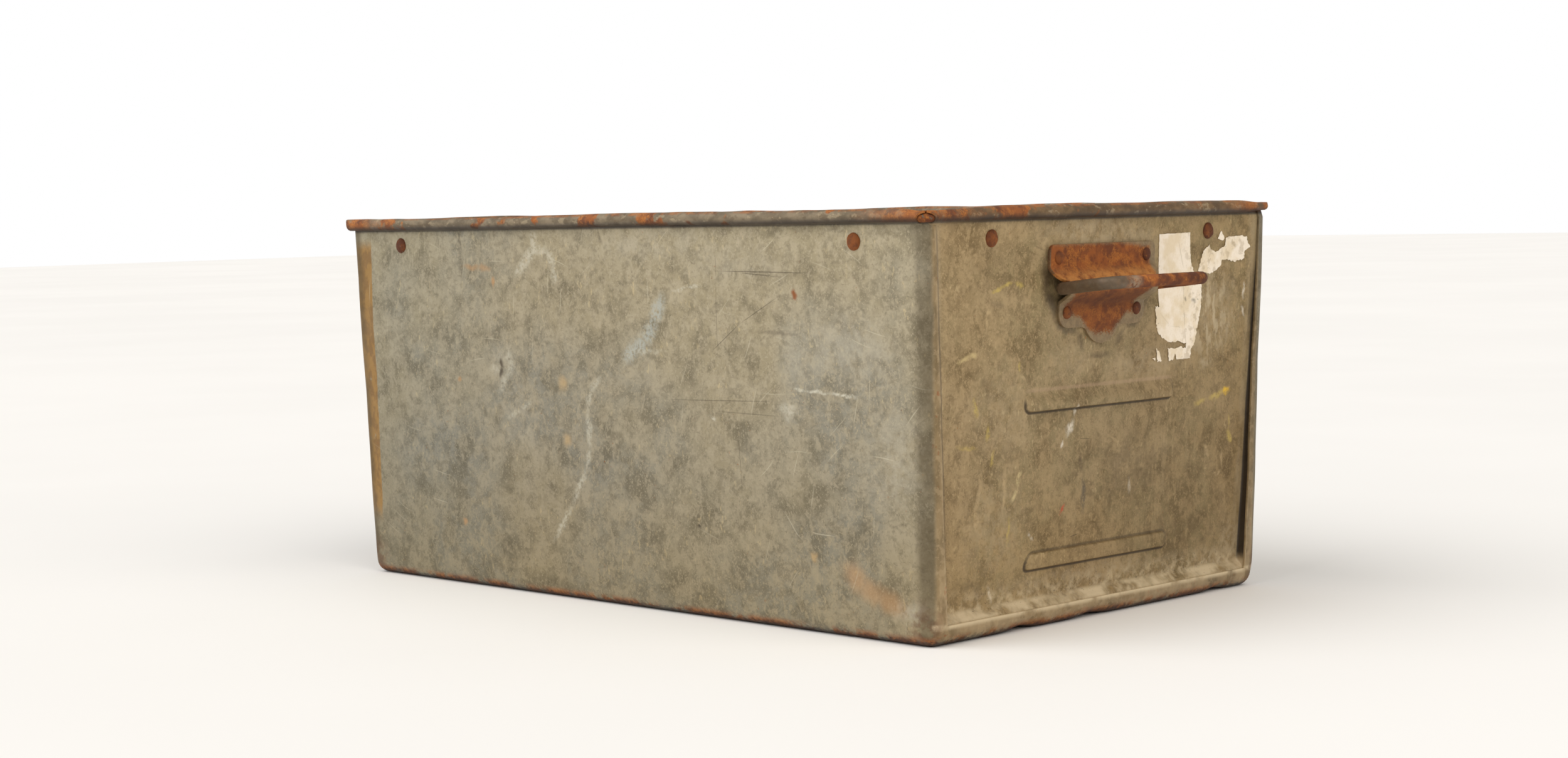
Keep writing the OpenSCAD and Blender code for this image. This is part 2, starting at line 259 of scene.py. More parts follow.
def knocked_rows(rows):
    return [[knock(p) for p in row] for row in rows]


def tube(path, across, radius, sides=20):
    """Rings of a round bar along a closed path; across is a direction square to the whole path."""
    rows = []
    for i, centre in enumerate(path):
        side = (path[(i + 1) % len(path)] - path[i - 1]).normalized().cross(across)
        ring = []
        for k in range(sides):
            a = -2 * math.pi * k / sides
            r = radius(i, a)
            ring.append(centre + across * (r * math.cos(a)) + side * (r * math.sin(a)))
        rows.append(ring)
    return rows + rows[:1]


def arc(cx, cy, r, first, last, steps):
    """Points (a, b) on an arc, angles in radians."""
    return [(cx + r * math.cos(first + (last - first) * i / steps),
             cy + r * math.sin(first + (last - first) * i / steps)) for i in range(steps + 1)]


def rounded_loop(half_x, half_y, r, step):
    """Closed rounded rectangle about the origin, anticlockwise, points about step apart."""
    flat_x, flat_y = half_x - r, half_y - r
    half = arc(flat_x, flat_y, r, 0, math.pi / 2, 8)
    half += [(a, half_y) for a in stations(flat_x, (-flat_x, step))[1:-1]]
    half += arc(-flat_x, flat_y, r, math.pi / 2, math.pi, 8)
    half += [(-half_x, b) for b in stations(flat_y, (-flat_y, step))[1:-1]]
    return half + [(-a, -b) for a, b in half]


# ---- Sheet metal of the box ----
CURL = [math.pi + (ROLL_GAP - 2 * math.pi) * i / 30 for i in range(31)]


def roll_overrun(a):
    """How much nearer the corner a roll ends at this angle round its wire: furthest on top."""
    return (2.2 + 3.2 * max(0, math.sin(a)) ** 2) * ease(0, 0.6, math.pi - a)


def body_loop(z, inset, corner, along, up_flange, across):
    """One level of the wrap, anticlockwise from above, starting at the front end's right corner."""
    x, y = flange_at(z) - inset, wall_at(z) - inset
    straight_x, straight_y = x - corner, y - corner
    opening = min(opening_at(z), straight_y - 0.5)
    end = [-straight_y + (straight_y - opening) * t for t in up_flange]
    end += [opening * t for t in across[1:-1]]
    end += [straight_y - (straight_y - opening) * t for t in reversed(up_flange)]
    half = [(x, v) for v in end]
    half += arc(straight_x, straight_y, corner, 0, math.pi / 2, CORNER_STEPS)[1:-1]
    half += [(straight_x * t, y) for t in reversed(along)]
    half += arc(-straight_x, straight_y, corner, math.pi / 2, math.pi, CORNER_STEPS)[1:-1]
    return half + [(-a, -b) for a, b in half]


def make_body_wrap(material):
    """Base and long sides with their rolls, bent round each end as a flange."""
    along = [v / 80 - 1 for v in range(161)]
    up_flange = (0, 0.34, 0.67, 1)
    across = [v / 38 - 1 for v in range(77)]
    heights = stations(WIRE_Z, (CORNER_TOP, 1.3), (FLANGE_FOOT, 3), (BASE_BEND, 1))
    levels = []
    for z in heights:
        corner = CORNER_BEND + (BASE_BEND - CORNER_BEND) * (WIRE_Z - z) / (WIRE_Z - BASE_BEND)
        levels.append([(a, b, z) for a, b in body_loop(z, 0, corner, along, up_flange, across)])
    for i in range(1, 8):
        a = i / 7 * math.pi / 2
        inset, corner = BASE_BEND * (1 - math.cos(a)), BASE_BEND * math.cos(a)
        loop = body_loop(BASE_BEND, inset, corner, along, up_flange, across)
        levels.append([(p, q, BASE_BEND * (1 - math.sin(a))) for p, q in loop])
    n_strip, n_end = len(up_flange) - 1, 2 * len(up_flange) + len(across) - 2
    first_side = n_end + CORNER_STEPS - 1
    half_round = first_side + len(along) + CORNER_STEPS - 1

    def keep(row, column):
        """Leaves out each end's opening above the foot, and its flanges beside the end's roll."""
        z, place = levels[row][0][2], column % half_round
        if n_strip <= place < n_end - 1 - n_strip:
            return z < FLANGE_FOOT + 0.01
        return place >= n_end - 1 or z < CORNER_TOP + 0.01

    skin = Skin()
    skin.grid(knocked_rows(levels), keep, wrap=True)
    for s in (1, -1):
        rows = []
        for a in reversed(CURL):
            y, z = WIRE_Y + ROLL_BORE * math.cos(a), WIRE_Z + ROLL_BORE * math.sin(a)
            rows.append([knock((-s * (ROLL_END_X + roll_overrun(a)) * t, s * y, z)) for t in along])
        skin.grid(rows)
    base = levels[-1]
    xs = [p[0] for p in base[first_side:first_side + len(along)]]
    ys = [p[1] for p in base[:n_end]]
    skin.grid([[knock((x, y, 0)) for y in ys] for x in xs])
    return new_piece("tote_body_wrap", skin, material, "box", ["body_wrap"], SHEET, 0.2)


def rib_lift(y, z):
    """How far the pressed ribs stand out: the upper one rises towards its lower edge, as a louvre."""
    lift = 0
    for (half_length, half_width, middle), louvre in zip(RIBS, (True, False)):
        along = max(y, -y + (0 if louvre else 0.5 * (z - middle)))
        a = max(along - half_length + 4, 0)
        b = max(abs(z - middle) - half_width + 4, 0)
        depth = 4 - math.hypot(a, b)
        if louvre:
            rise = ease(middle + half_width, middle - half_width * 0.4, z) * ease(0, 5, 5.2 - a)
            lift = max(lift, RIB_HEIGHT * 1.45 * rise * ease(0, 1.1, depth))
        else:
            lift = max(lift, RIB_HEIGHT * 0.85 * ease(0, 1.2, depth))
    return lift


def make_end_panel(name, material, node, rear):
    """Recessed end with pressed ribs, side lips, a sloping foot and its rolled rim."""
    fold = 1.4
    heights = stations(WIRE_Z, (131, 2.6), (119, 1.5), (115, 0.4), (43, 2.6), (39.5, 0.4), (32.5, 1.5),
                       (29.5, 0.4), (FLANGE_FOOT + 5.5, 2.6))
    rows = [(WIRE_X + ROLL_BORE * math.cos(a), WIRE_Z + ROLL_BORE * math.sin(a),
             ROLL_END_Y + roll_overrun(a), 0) for a in reversed(CURL)]
    for z in heights[1:]:
        edge = opening_at(z) + 0.35
        edge += (ROLL_END_Y - edge) * ease(CORNER_TOP, WIRE_Z, z)
        rows.append((field_at(z), z, edge, flange_at(z) - SHEET - 0.05 - field_at(z)))
    slope_top, knee, lap = FLANGE_FOOT + 5.5, FLANGE_FOOT - 0.4, FLANGE_FOOT - 2.8
    back = flange_at(knee) - SHEET - 0.05
    for i in range(1, 11):
        z = slope_top + (knee - slope_top) * i / 10
        x = field_at(slope_top) + (back - field_at(slope_top)) * ease(0, 1, i / 10)
        rows.append((x, z, opening_at(z) + 0.35, flange_at(z) - SHEET - 0.05 - x))
    rows.append((back - 0.03, lap, opening_at(lap) + 0.35, 0))
    across = stations(-1, (-0.52, 0.02), (-0.42, 0.009), (0.42, 0.022), (0.52, 0.009), (1, 0.02))
    grid = []
    for x, z, edge, depth in rows:
        depth = depth if depth > 0.04 else 0
        r = min(fold, depth / 2)
        inner = edge - r
        lip = [(inner + r * math.sin(a), x + r * (1 - math.cos(a)))
               for a in (0.3, 0.6, 0.9, 1.2, math.pi / 2)]
        lip += [(edge, x + r + (depth - r) * t) for t in (0.35, 0.7, 1)]
        row = [(u, -v, z) for v, u in reversed(lip)]
        row += [(x + (rib_lift(inner * t, z) if z < 200 else 0), inner * t, z) for t in across]
        row += [(u, v, z) for v, u in lip]
        grid.append(turned(row) if rear else row)
    skin = Skin()
    skin.grid(knocked_rows(grid))
    return new_piece(name, skin, material, "box", [node], SHEET, 0.2)


def make_rim_wire(material):
    """The wire inside the rim, in view at the corners and under the rolls."""
    loop = rounded_loop(WIRE_X, WIRE_Y, WIRE_BEND, 4)
    path = [knock((a, b, WIRE_Z)) for a, b in loop]

    def radius(i, a):
        return WIRE_R - 0.05 + 0.07 * ripple(i * 3, a * 4, 5, 2)

    skin = Skin()
    skin.grid(tube(path, Vector((0, 0, 1)), radius))
    return new_piece("tote_rim_wire", skin, material, "box", ["rim_wire"])


def make_gusset(name, material, node, sx, sy):
    """Triangular stacking seat with a flange turned down along each wall."""
    cut, fold = 9, 1.6
    x = field_at(SEAT_Z) - SHEET - 0.35
    y = wall_at(SEAT_Z) - SHEET - 0.35
    drops = [GUSSET_FLANGE - (GUSSET_FLANGE - fold) * i / 4 for i in range(5)]
    rows = []
    for i in range(25):
        leg = cut + (GUSSET_LEG - cut) * i / 24
        on_end, on_side = Vector((x, y - leg, SEAT_Z)), Vector((x - leg, y, SEAT_Z))
        inward = (on_side - on_end).normalized()
        row = [on_end + Vector((-FIELD_LEAN * d, 0, -d)) for d in drops]
        bends = [Vector((fold * (1 - math.cos(a)), 0, fold * (1 - math.sin(a)))) for a in (0.4, 0.8, 1.2)]
        row += [on_end + inward * bend.x - Vector((0, 0, bend.z)) for bend in bends]
        reach = (on_side - on_end).length - 2 * fold
        row += [on_end + inward * (fold + reach * t / 12) for t in range(13)]
        row += [on_side - inward * bend.x - Vector((0, 0, bend.z)) for bend in reversed(bends)]
        row += [on_side + Vector((0, -WALL_LEAN * d, -d)) for d in reversed(drops)]
        rows.append([Vector((p.x * sx, p.y * sy, p.z)) for p in row])
    if sx * sy > 0:
        rows.reverse()
    skin = Skin()
    skin.grid(knocked_rows(rows))
    return new_piece(name, skin, material, "box", [node], SHEET, 0.2)


# ---- Rivets ----
def rivet_rows(place, axis, head_r, grip, shank_r, seed):
    """Rings of a hammered dome-headed rivet, from the middle of its head to its tail."""
    head_h = head_r * 0.42
    profile = [(0.02, head_h)]
    profile += [(head_r * math.sin(i / 18 * math.pi), head_h * math.cos(i / 18 * math.pi))
                for i in range(1, 10)]
    profile += [(shank_r, 0), (shank_r, -grip), (shank_r * 1.5, -grip - 0.02)]
    profile += [(shank_r * 1.45, -grip - shank_r * 0.5), (shank_r * 1.1, -grip - shank_r * 0.75),
                (0.02, -grip - shank_r * 0.8)]
    across = axis.orthogonal().normalized()
    other = axis.cross(across)
    rows = []
    for r, h in profile:
        ring = []
        for k in range(28):
            a = 2 * math.pi * k / 28
            c, s = math.cos(a), math.sin(a)
            uneven = r * (1 + 0.05 * ripple(c * 2 + h, s * 2, 1.3, seed)) if r > 0.1 else r
            flat = h - (0.16 * head_h * ripple(r * c, r * s, 3, seed + 5) if h > 0 else 0)
            ring.append(place + across * (uneven * c) + other * (uneven * s) + axis * flat)
        rows.append(ring)
    return rows


def add_rivet(skin, place, axis, head_r, grip, shank_r, seed):
    rows = rivet_rows(place, axis.normalized(), head_r, grip, shank_r, seed)
    skin.grid(rows, wrap=True)
    skin.face(rows[-1][::-1])
    skin.face(rows[0])


def make_corner_rivets(name, material, node, sx, sy):
    """The two rivets that hold one gusset."""
    skin = Skin()
    z = RIM_RIVET_Z
    on_end = knock((sx * field_at(z), sy * (WALL_Y - RIVET_INSET), z))
    on_side = knock((sx * (FLANGE_X - RIVET_INSET), sy * wall_at(z), z))
    out_end = Vector((sx * math.cos(FIELD_ANGLE), 0, -math.sin(FIELD_ANGLE)))
    out_side = Vector((0, sy, -WALL_LEAN))
    add_rivet(skin, on_end, out_end, 4.75, 2 * SHEET, 2.4, sx * 3 + sy)
    add_rivet(skin, on_side, out_side, 4.75, 2 * SHEET, 2.4, sx * 5 + sy * 2)
    return new_piece(name, skin, material, "box", [node], smooth=60)


# ---- Drop handles ----
PLATE_OUT = Vector((math.cos(FIELD_ANGLE), 0, -math.sin(FIELD_ANGLE)))
PLATE_UP = Vector((math.sin(FIELD_ANGLE), 0, math.cos(FIELD_ANGLE)))
PLATE_ORIGIN = Vector((PIVOT_X, HANDLE_Y, PIVOT_Z)) - PLATE_OUT * PIVOT_STAND_OFF
PLATE_TOP = 23.6
BARREL_TOP, BARREL_FOOT = 11.2, -9.2
SKIRT_FOOT, TONGUE_FOOT = -22, -31.6


def on_plate(out, y, up):
    return PLATE_ORIGIN + PLATE_OUT * out + PLATE_UP * up + Vector((0, y, 0))


def plate_profile():
    """Section of the plate's outer face, top to bottom, as (out, up) points about 0.6 apart."""
    barrel_r = ROD_R + 0.3 + PLATE_T
    fillet = 3.0

    def touch(up, s):
        dx, dy = PLATE_T - PIVOT_STAND_OFF, s * up
        return math.atan2(dy, dx) - s * math.acos(barrel_r / math.hypot(dx, dy))

    top, foot = touch(BARREL_TOP, 1), touch(-BARREL_FOOT, -1)
    points = [(PLATE_T, PLATE_TOP)]
    for s, up, angle in ((1, BARREL_TOP, top), (-1, BARREL_FOOT, foot)):
        tx = PIVOT_STAND_OFF + barrel_r * math.cos(angle)
        ty = barrel_r * math.sin(angle)
        run = math.hypot(tx - PLATE_T, ty - up)
        cut = fillet * math.tan(math.acos(abs(ty - up) / run) / 2)
        on_flat, on_ramp = (PLATE_T, up + s * cut), (PLATE_T + (tx - PLATE_T) * cut / run,
                                                    up + (ty - up) * cut / run)
        bend = [tuple((1 - t) ** 2 * a + 2 * t * (1 - t) * b + t * t * c
                      for a, b, c in zip(on_flat, (PLATE_T, up), on_ramp))
                for t in (0, 0.25, 0.5, 0.75, 1)]
        if s > 0:
            points += bend + arc(PIVOT_STAND_OFF, 0, barrel_r, top, foot, 14)
        else:
            points += list(reversed(bend))
    points += [(PLATE_T, SKIRT_FOOT), (PLATE_T, SKIRT_FOOT - 0.04), (PLATE_T, TONGUE_FOOT)]
    dense = []
    for (a, b), (c, d) in zip(points, points[1:]):
        count = max(1, round(math.hypot(c - a, d - b) / 0.6))
        dense += [(a + (c - a) * i / count, b + (d - b) * i / count) for i in range(count)]
    return dense + [points[-1]]


def plate_half_width(up, walked):
    """Half the plate's width at a height, and its top corners by how far down the section it is."""
    wing, barrel, skirt, tongue, blend = 46.35, 38.4, 37.5, 15.8, 6
    if walked < 4:
        return wing - 4 + math.sqrt(max(0, 16 - (4 - walked) ** 2))
    if up > 4.5:
        t = max(0, 11.5 - up) / 7
        return barrel + (wing - barrel) * math.sqrt(max(0, 1 - t * t))
    if up > -9:
        return barrel
    if up > -14:
        return skirt
    if up > SKIRT_FOOT - 0.02:
        return skirt - 8 + math.sqrt(max(0, 64 - (up + 14) ** 2))
    middle, blend_up = TONGUE_FOOT + tongue, SKIRT_FOOT - blend
    across = math.sqrt((tongue + blend) ** 2 - (blend_up - middle) ** 2)
    touch = middle + (blend_up - middle) * tongue / (tongue + blend)
    if up > touch:
        return across - math.sqrt(max(0, blend ** 2 - (up - blend_up) ** 2))
    return math.sqrt(max(0, tongue ** 2 - (up - middle) ** 2))


def make_handle_plate(name, material, node, rear):
    """Pressed plate: riveted wings, a barrel over the handle's pivot rod and a tongued skirt."""
    section = plate_profile()
    rows, walked = [], 0
    for i, (out, up) in enumerate(section):
        if i:
            walked += math.hypot(out - section[i - 1][0], up - section[i - 1][1])
        half = max(0.4, plate_half_width(up, walked))
        row = [on_plate(out, half * t / 30, up) for t in range(-30, 31)]
        rows.append(turned(row) if rear else row)
    skin = Skin()
    skin.grid(rows)
    return new_piece(name, skin, material, "box", [node], PLATE_T, 0.35, 50)


def make_plate_rivets(name, material, node, rear):
    skin = Skin()
    out = turned([PLATE_OUT])[0] if rear else PLATE_OUT
    for side, (across, up) in ((s, spot) for s in (-1, 1) for spot in ((38.6, 16.4), (30.8, -13.6))):
        place = on_plate(PLATE_T, side * across, up)
        place = turned([place])[0] if rear else place
        add_rivet(skin, place, out, 3.6, PLATE_T + SHEET, 1.9, side * 7 + up + rear)
    return new_piece(name, skin, material, "box", [node], smooth=60)


def make_bail(name, material, node, body, rear):
    """Closed loop of round rod, a touch under its full thickness and a little uneven along it."""
    leg = BAIL_HALF - ROD_R
    pivot_bend, grip_bend = 4, 6.5
    near = arc(pivot_bend, -leg + pivot_bend, pivot_bend, math.pi, 1.5 * math.pi, 8)
    near += [(a, -leg) for a in stations(pivot_bend, (BAIL_REACH - grip_bend, 1.6))[1:-1]]
    near += arc(BAIL_REACH - grip_bend, -leg + grip_bend, grip_bend, 1.5 * math.pi, 2 * math.pi, 10)
    flat = near + [(BAIL_REACH, b) for b in stations(-leg + grip_bend, (leg - grip_bend, 1.6))[1:-1]]
    flat += [(a, -b) for a, b in reversed(near)]
    flat += [(0, b) for b in stations(leg - pivot_bend, (-leg + pivot_bend, 1.6))[1:-1]]
    reach = Vector((math.cos(BAIL_RAISE), 0, math.sin(BAIL_RAISE)))
    up = Vector((-math.sin(BAIL_RAISE), 0, math.cos(BAIL_RAISE)))
    path = [Vector((PIVOT_X, HANDLE_Y + b, PIVOT_Z)) + reach * a for a, b in flat]
    if rear:
        path = turned(path)
        up = turned([up])[0]

    def radius(i, a):
        return ROD_R - 0.08 + 0.1 * ripple(i * 1.6, a * 3.5, 4, 7 + rear)

    skin = Skin()
    skin.grid(tube(path, up, radius, sides=28))
    return new_piece(name, skin, material, body, [node])


# ---- Paper ----
def torn_outline(corners, wander, dice):
    """A polygon's outline broken into short steps that wander as torn paper does."""
    outline = []
    for first, last in zip(corners, corners[1:] + corners[:1]):
        torn = wander if len(first) == 2 else 0.12
        (a, b), (c, d) = first[:2], last[:2]
        length = math.hypot(c - a, d - b)
        count = max(1, round(length))
        for i in range(count):
            t = i / count
            off = dice.uniform(-torn, torn) / length if i else 0
            outline.append(Vector((a + (c - a) * t - (d - b) * off, b + (d - b) * t + (c - a) * off)))
    return outline


def inside(point, outline):
    crossings = 0
    for a, b in zip(outline, outline[1:] + outline[:1]):
        if (a.y > point.y) != (b.y > point.y):
            crossings += point.x < a.x + (point.y - a.y) / (b.y - a.y) * (b.x - a.x)
    return crossings % 2 == 1


def make_paper(name, material, node, shapes, seed):
    """Torn scraps stuck to the panel, wrinkled and lifting a little along their torn edges."""
    dice = random.Random(seed)
    skin = Skin()
    for corners in shapes:
        outline = torn_outline(corners, 0.45, dice)
        left, right = min(p.x for p in outline), max(p.x for p in outline)
        low, high = min(p.y for p in outline), max(p.y for p in outline)
        inner = []
        for a in stations(left, (right, 1.5)):
            for b in stations(low, (high, 1.5)):
                spot = Vector((a + dice.uniform(-0.4, 0.4), b + dice.uniform(-0.4, 0.4)))
                if inside(spot, outline) and min((spot - p).length for p in outline) > 0.7:
                    inner.append(spot)
        ring = list(range(len(outline)))
        spots, _, faces, *_ = geometry.delaunay_2d_cdt(
            outline + inner, list(zip(ring, ring[1:] + ring[:1])), [], 1, 0.001)
        for face in faces:
            lifted = []
            for y, z in (spots[i] for i in face):
                near = min(math.hypot(y - p.x, z - p.y) for p in outline)
                lift = 0.24 + 0.5 * bell(near, 1.8) * max(0, ripple(y, z, 8, seed) + 0.2)
                lift += 0.22 * max(0, ripple(y, z * 0.4, 5, seed + 3))
                lifted.append(knock((field_at(z), y, z)) + PLATE_OUT * lift)
            skin.face(lifted)
    return new_piece(name, skin, material, "box", [node], 0.14, smooth=50)


# ---- Materials ----
def hex_colour(code):
    """Linear colour of an sRGB hex code."""
    parts = [int(code[i:i + 2], 16) / 255 for i in (0, 2, 4)]
    return tuple(c / 12.92 if c <= 0.04045 else ((c + 0.055) / 1.055) ** 2.4 for c in parts) + (1,)


class Paint:
    """One procedural material, built up in layers; places and sizes on the object are in millimetres."""

    def __init__(self, name):
        self.material = bpy.data.materials.new(name)
        self.material.use_nodes = True
        self.tree = self.material.node_tree
        self.shader = self.tree.nodes["Principled BSDF"]
        lookup = self.node("ShaderNodeTexCoord").outputs
        self.coords = lookup["Object"]
        self.place = self.node("ShaderNodeVectorMath", {"Vector": self.coords, "Scale": 1 / MM},
                               operation="SCALE").outputs[0]
        parts = self.node("ShaderNodeSeparateXYZ", {"Vector": self.place}).outputs
        self.x, self.y, self.z = parts
        self.far_x, self.far_y = self.math("ABSOLUTE", self.x), self.math("ABSOLUTE", self.y)
        self.side = self.times(self.y, self.math("SIGN", self.x))
        facing = self.node("ShaderNodeSeparateXYZ", {"Vector": lookup["Normal"]}).outputs
        self.out_x, self.out_y = (self.math("GREATER_THAN", self.times(facing[i], parts[i]), 0.0)
                                  for i in (0, 1))
        self.seed, self.shaky, self.colour = 0, None, None

    def node(self, kind, inputs=None, **settings):
        made = self.tree.nodes.new(kind)
        for key, value in settings.items():
            setattr(made, key, value)
        for key, value in (inputs or {}).items():
            self.put(made.inputs[key], value)
        return made

    def put(self, socket, value):
        """Links a socket to another one, or gives it a number, a vector or the colour of a hex code."""
        if isinstance(value, bpy.types.NodeSocket):
            self.tree.links.new(value, socket)
        else:
            socket.default_value = hex_colour(value) if isinstance(value, str) else value

    def math(self, operation, a, b=0.0, c=0.0, clamp=False):
        return self.node("ShaderNodeMath", {0: a, 1: b, 2: c}, operation=operation,
                         use_clamp=clamp).outputs[0]

    def chain(self, operation, *values):
        return reduce(lambda a, b: self.math(operation, a, b), values)

    times = partialmethod(chain, "MULTIPLY")
    most = partialmethod(chain, "MAXIMUM")
    plus = partialmethod(chain, "ADD")
    minus = partialmethod(chain, "SUBTRACT")

    def between(self, value, low, high, start=0.0, end=1.0):
        """Goes smoothly from start to end as value goes from low to high."""
        made = self.node("ShaderNodeMapRange", {"Value": value, "From Min": low, "From Max": high,
                                                "To Min": start, "To Max": end},
                         interpolation_type="SMOOTHSTEP")
        return made.outputs["Result"]

    def level(self, low, high, start=0.0, end=1.0):
        """Goes smoothly from start to end as height goes from low to high."""
        return self.between(self.z, low, high, start, end)

    def past(self, value, base, slope):
        """How far value is past a line that is at base at the floor and moves by slope with height."""
        return self.minus(value, self.math("MULTIPLY_ADD", self.z, slope, base))

    def mix(self, share, a, b, blend="MIX"):
        return self.node("ShaderNodeMix", {0: share, 6: a, 7: b}, data_type="RGBA",
                         blend_type=blend).outputs[2]

    def shade(self, colour, factor):
        """Colour made lighter or darker by a factor."""
        return self.node("ShaderNodeHueSaturation", {"Color": colour, "Value": factor}).outputs[0]

    def lay(self, tone, *masks):
        """Lays a tone over the colour so far, as much as the product of the masks says."""
        self.colour = self.mix(self.times(*masks), self.colour, tone)

    def tint(self, factors, share):
        """Multiplies the colour so far by three factors, as much as share says."""
        self.lay(self.mix(1.0, self.colour, (*factors, 1), "MULTIPLY"), share)

    def lighten(self, factor):
        self.colour = self.shade(self.colour, factor)

    def noise(self, size, detail=4, rough=0.55, stretch=(1, 1, 1), warp=0.0):
        """Noise from 0 to 1 with features about size across, longer along axes with a stretch."""
        self.seed += 7.3
        spot = self.node("ShaderNodeMapping", {
            "Vector": self.coords, "Scale": tuple(1 / (MM * size * s) for s in stretch),
            "Location": (self.seed, self.seed * 0.7, self.seed * 1.3)}).outputs[0]
        made = self.node("ShaderNodeTexNoise", {"Vector": spot, "Scale": 1.0, "Detail": detail,
                                                "Roughness": rough, "Distortion": warp})
        return made.outputs["Fac"]

    def haze(self, size, low, high, *how):
        """Mask from noise: 0 where the noise is at low or beyond, 1 where it is at high or beyond."""
        return self.between(self.noise(size, *how), low, high)

    def patches(self, size, edge, soft=0.03, detail=4, stretch=(1, 1, 1), warp=0.0):
        """Mask of ragged patches; the higher the edge, the fewer there are."""
        return self.haze(size, edge - soft, edge + soft, detail, 0.6, stretch, warp)

    def along(self, direction):
        """How far a place is along a unit direction."""
        return self.node("ShaderNodeVectorMath", {0: self.place, 1: tuple(direction)},
                         operation="DOT_PRODUCT").outputs["Value"]

    def scratches(self, direction, gap, length, width, share=0.5):
        """Separate straight scratches along a unit direction, about gap apart across them."""
        d = Vector(direction)
        flat = Vector((0, 1, 0)) if abs(d.y) < 0.5 and abs(d.x) > 0.01 else Vector((1, 0, 0))
        facing = self.math("SIGN", self.along(flat))
        reach = length / 2 * gap / width
        self.seed += 5.9
        along = self.math("DIVIDE", self.along(d), reach)
        across = self.math("DIVIDE", self.along(d.cross(flat).normalized()), gap)
        bend = self.math("MULTIPLY_ADD", self.noise(90, 1), 50 / gap, self.seed)
        spot = self.node("ShaderNodeCombineXYZ", {"X": self.plus(along, self.times(facing, 7.7)),
                                                  "Y": self.plus(across, bend)}).outputs[0]
        cells = self.node("ShaderNodeTexVoronoi", {"Vector": spot, "Scale": 1.0},
                          voronoi_dimensions="2D")
        line = self.between(cells.outputs["Distance"], width / gap, width / gap * 0.4)
        luck = self.node("ShaderNodeSeparateColor", {"Color": cells.outputs["Color"]}).outputs[0]
        return self.times(line, self.between(luck, 1 - share, 1))

    def shake(self):
        """Places moved about a little, so that what is drawn at them has an uneven edge."""
        self.seed += 7.3
        wave, reach = 6 * MM, 5 * MM
        noise = self.node("ShaderNodeTexNoise", {"Vector": self.coords, "Scale": 1 / wave, "Detail": 3.0})
        offset = self.node("ShaderNodeVectorMath", {
            0: noise.outputs["Color"], 1: (reach,) * 3, 2: (-reach / 2,) * 3}, operation="MULTIPLY_ADD")
        return self.node("ShaderNodeMapping", {"Vector": self.coords,
                                               "Location": offset.outputs[0]}).outputs[0]

    def oval(self, centre, reach, plane, angle=0.0, steady=False):
        """1 at the centre of an oval on a face, falling to 0 at reach (along, across) from it.

        The plane is 'xz' for a long side and 'yz' for an end.
        """
        if self.shaky is None:
            self.shaky = self.shake()
        flat = plane == "xz"
        place = (centre[0], 0, centre[1]) if flat else (0, *centre)
        size = (reach[0], 1e5, reach[1]) if flat else (1e5, *reach)
        spot = self.node("ShaderNodeMapping", {
            "Vector": self.coords if steady else self.shaky,
            "Location": [c * MM for c in place], "Scale": [c * MM for c in size],
            "Rotation": (0, -angle, 0) if flat else (angle, 0, 0)}, vector_type="TEXTURE").outputs[0]
        return self.node("ShaderNodeTexGradient", {"Vector": spot},
                         gradient_type="SPHERICAL").outputs["Fac"]

    def stroke(self, points, width, plane):
        """Mask of a hand-drawn line through points; thin ones are steady and sharper."""
        steady = width < 1
        width *= 0.6 if steady else 1.25
        parts = []
        for (a, b), (c, d) in zip(points, points[1:]):
            half = math.hypot(c - a, d - b) / 2
            parts.append(self.oval(((a + c) / 2, (b + d) / 2), (half * 1.15 + width, width), plane,
                                   math.atan2(d - b, c - a), steady))
        return self.between(self.most(*parts), 0, 0.5 if steady else 0.85)

    def draw(self, rows, plane, *masks):
        """Lays strokes, each a row of width, tone, strength and points."""
        for width, tone, strength, *points in rows:
            self.lay(tone, self.stroke(points, width, plane), *masks, strength)

    def cloud(self, centre, reach, plane):
        """Soft oval mask on a face, fading out at reach (across, up) from its centre."""
        return self.between(self.oval(centre, reach, plane), 0, 0.9)

    def finish(self, roughness, metallic, height, strength=1.0):
        """Wires the colour so far and the finish to the shader; relief is 0.2 mm where height is 1."""
        bump = self.node("ShaderNodeBump", {"Height": height, "Strength": strength,
                                            "Distance": 0.2 * MM})
        for name, value in (("Base Color", self.colour), ("Roughness", roughness),
                            ("Metallic", metallic), ("Normal", bump.outputs["Normal"])):
            self.put(self.shader.inputs[name], value)
        return self.material


RUST_DARK, RUST_MID, RUST_BRIGHT = "5e2f12", "8c4d1b", "b06c28"
# The dark grime and soot colours are also used for painted shade and painted shadow.
GRIME_AND_SHADE, SOOT_AND_SHADE = "3a2c1c", "23160d"


def rust_colour(p, brightness=0.5):
    """Blotchy iron-oxide colour from deep brown to bright orange, and its fine grain."""
    fine = p.noise(0.9, 5, 0.75)
    colour = p.mix(p.haze(10, 0.4, 0.6, 5, 0.62), RUST_DARK, RUST_MID)
    bright = p.times(p.haze(7, 0.62 - 0.25 * brightness, 0.74 - 0.2 * brightness, 5, 0.7),
                     p.between(fine, 0.36, 0.58))
    return p.mix(p.times(bright, 0.85), colour, RUST_BRIGHT), fine


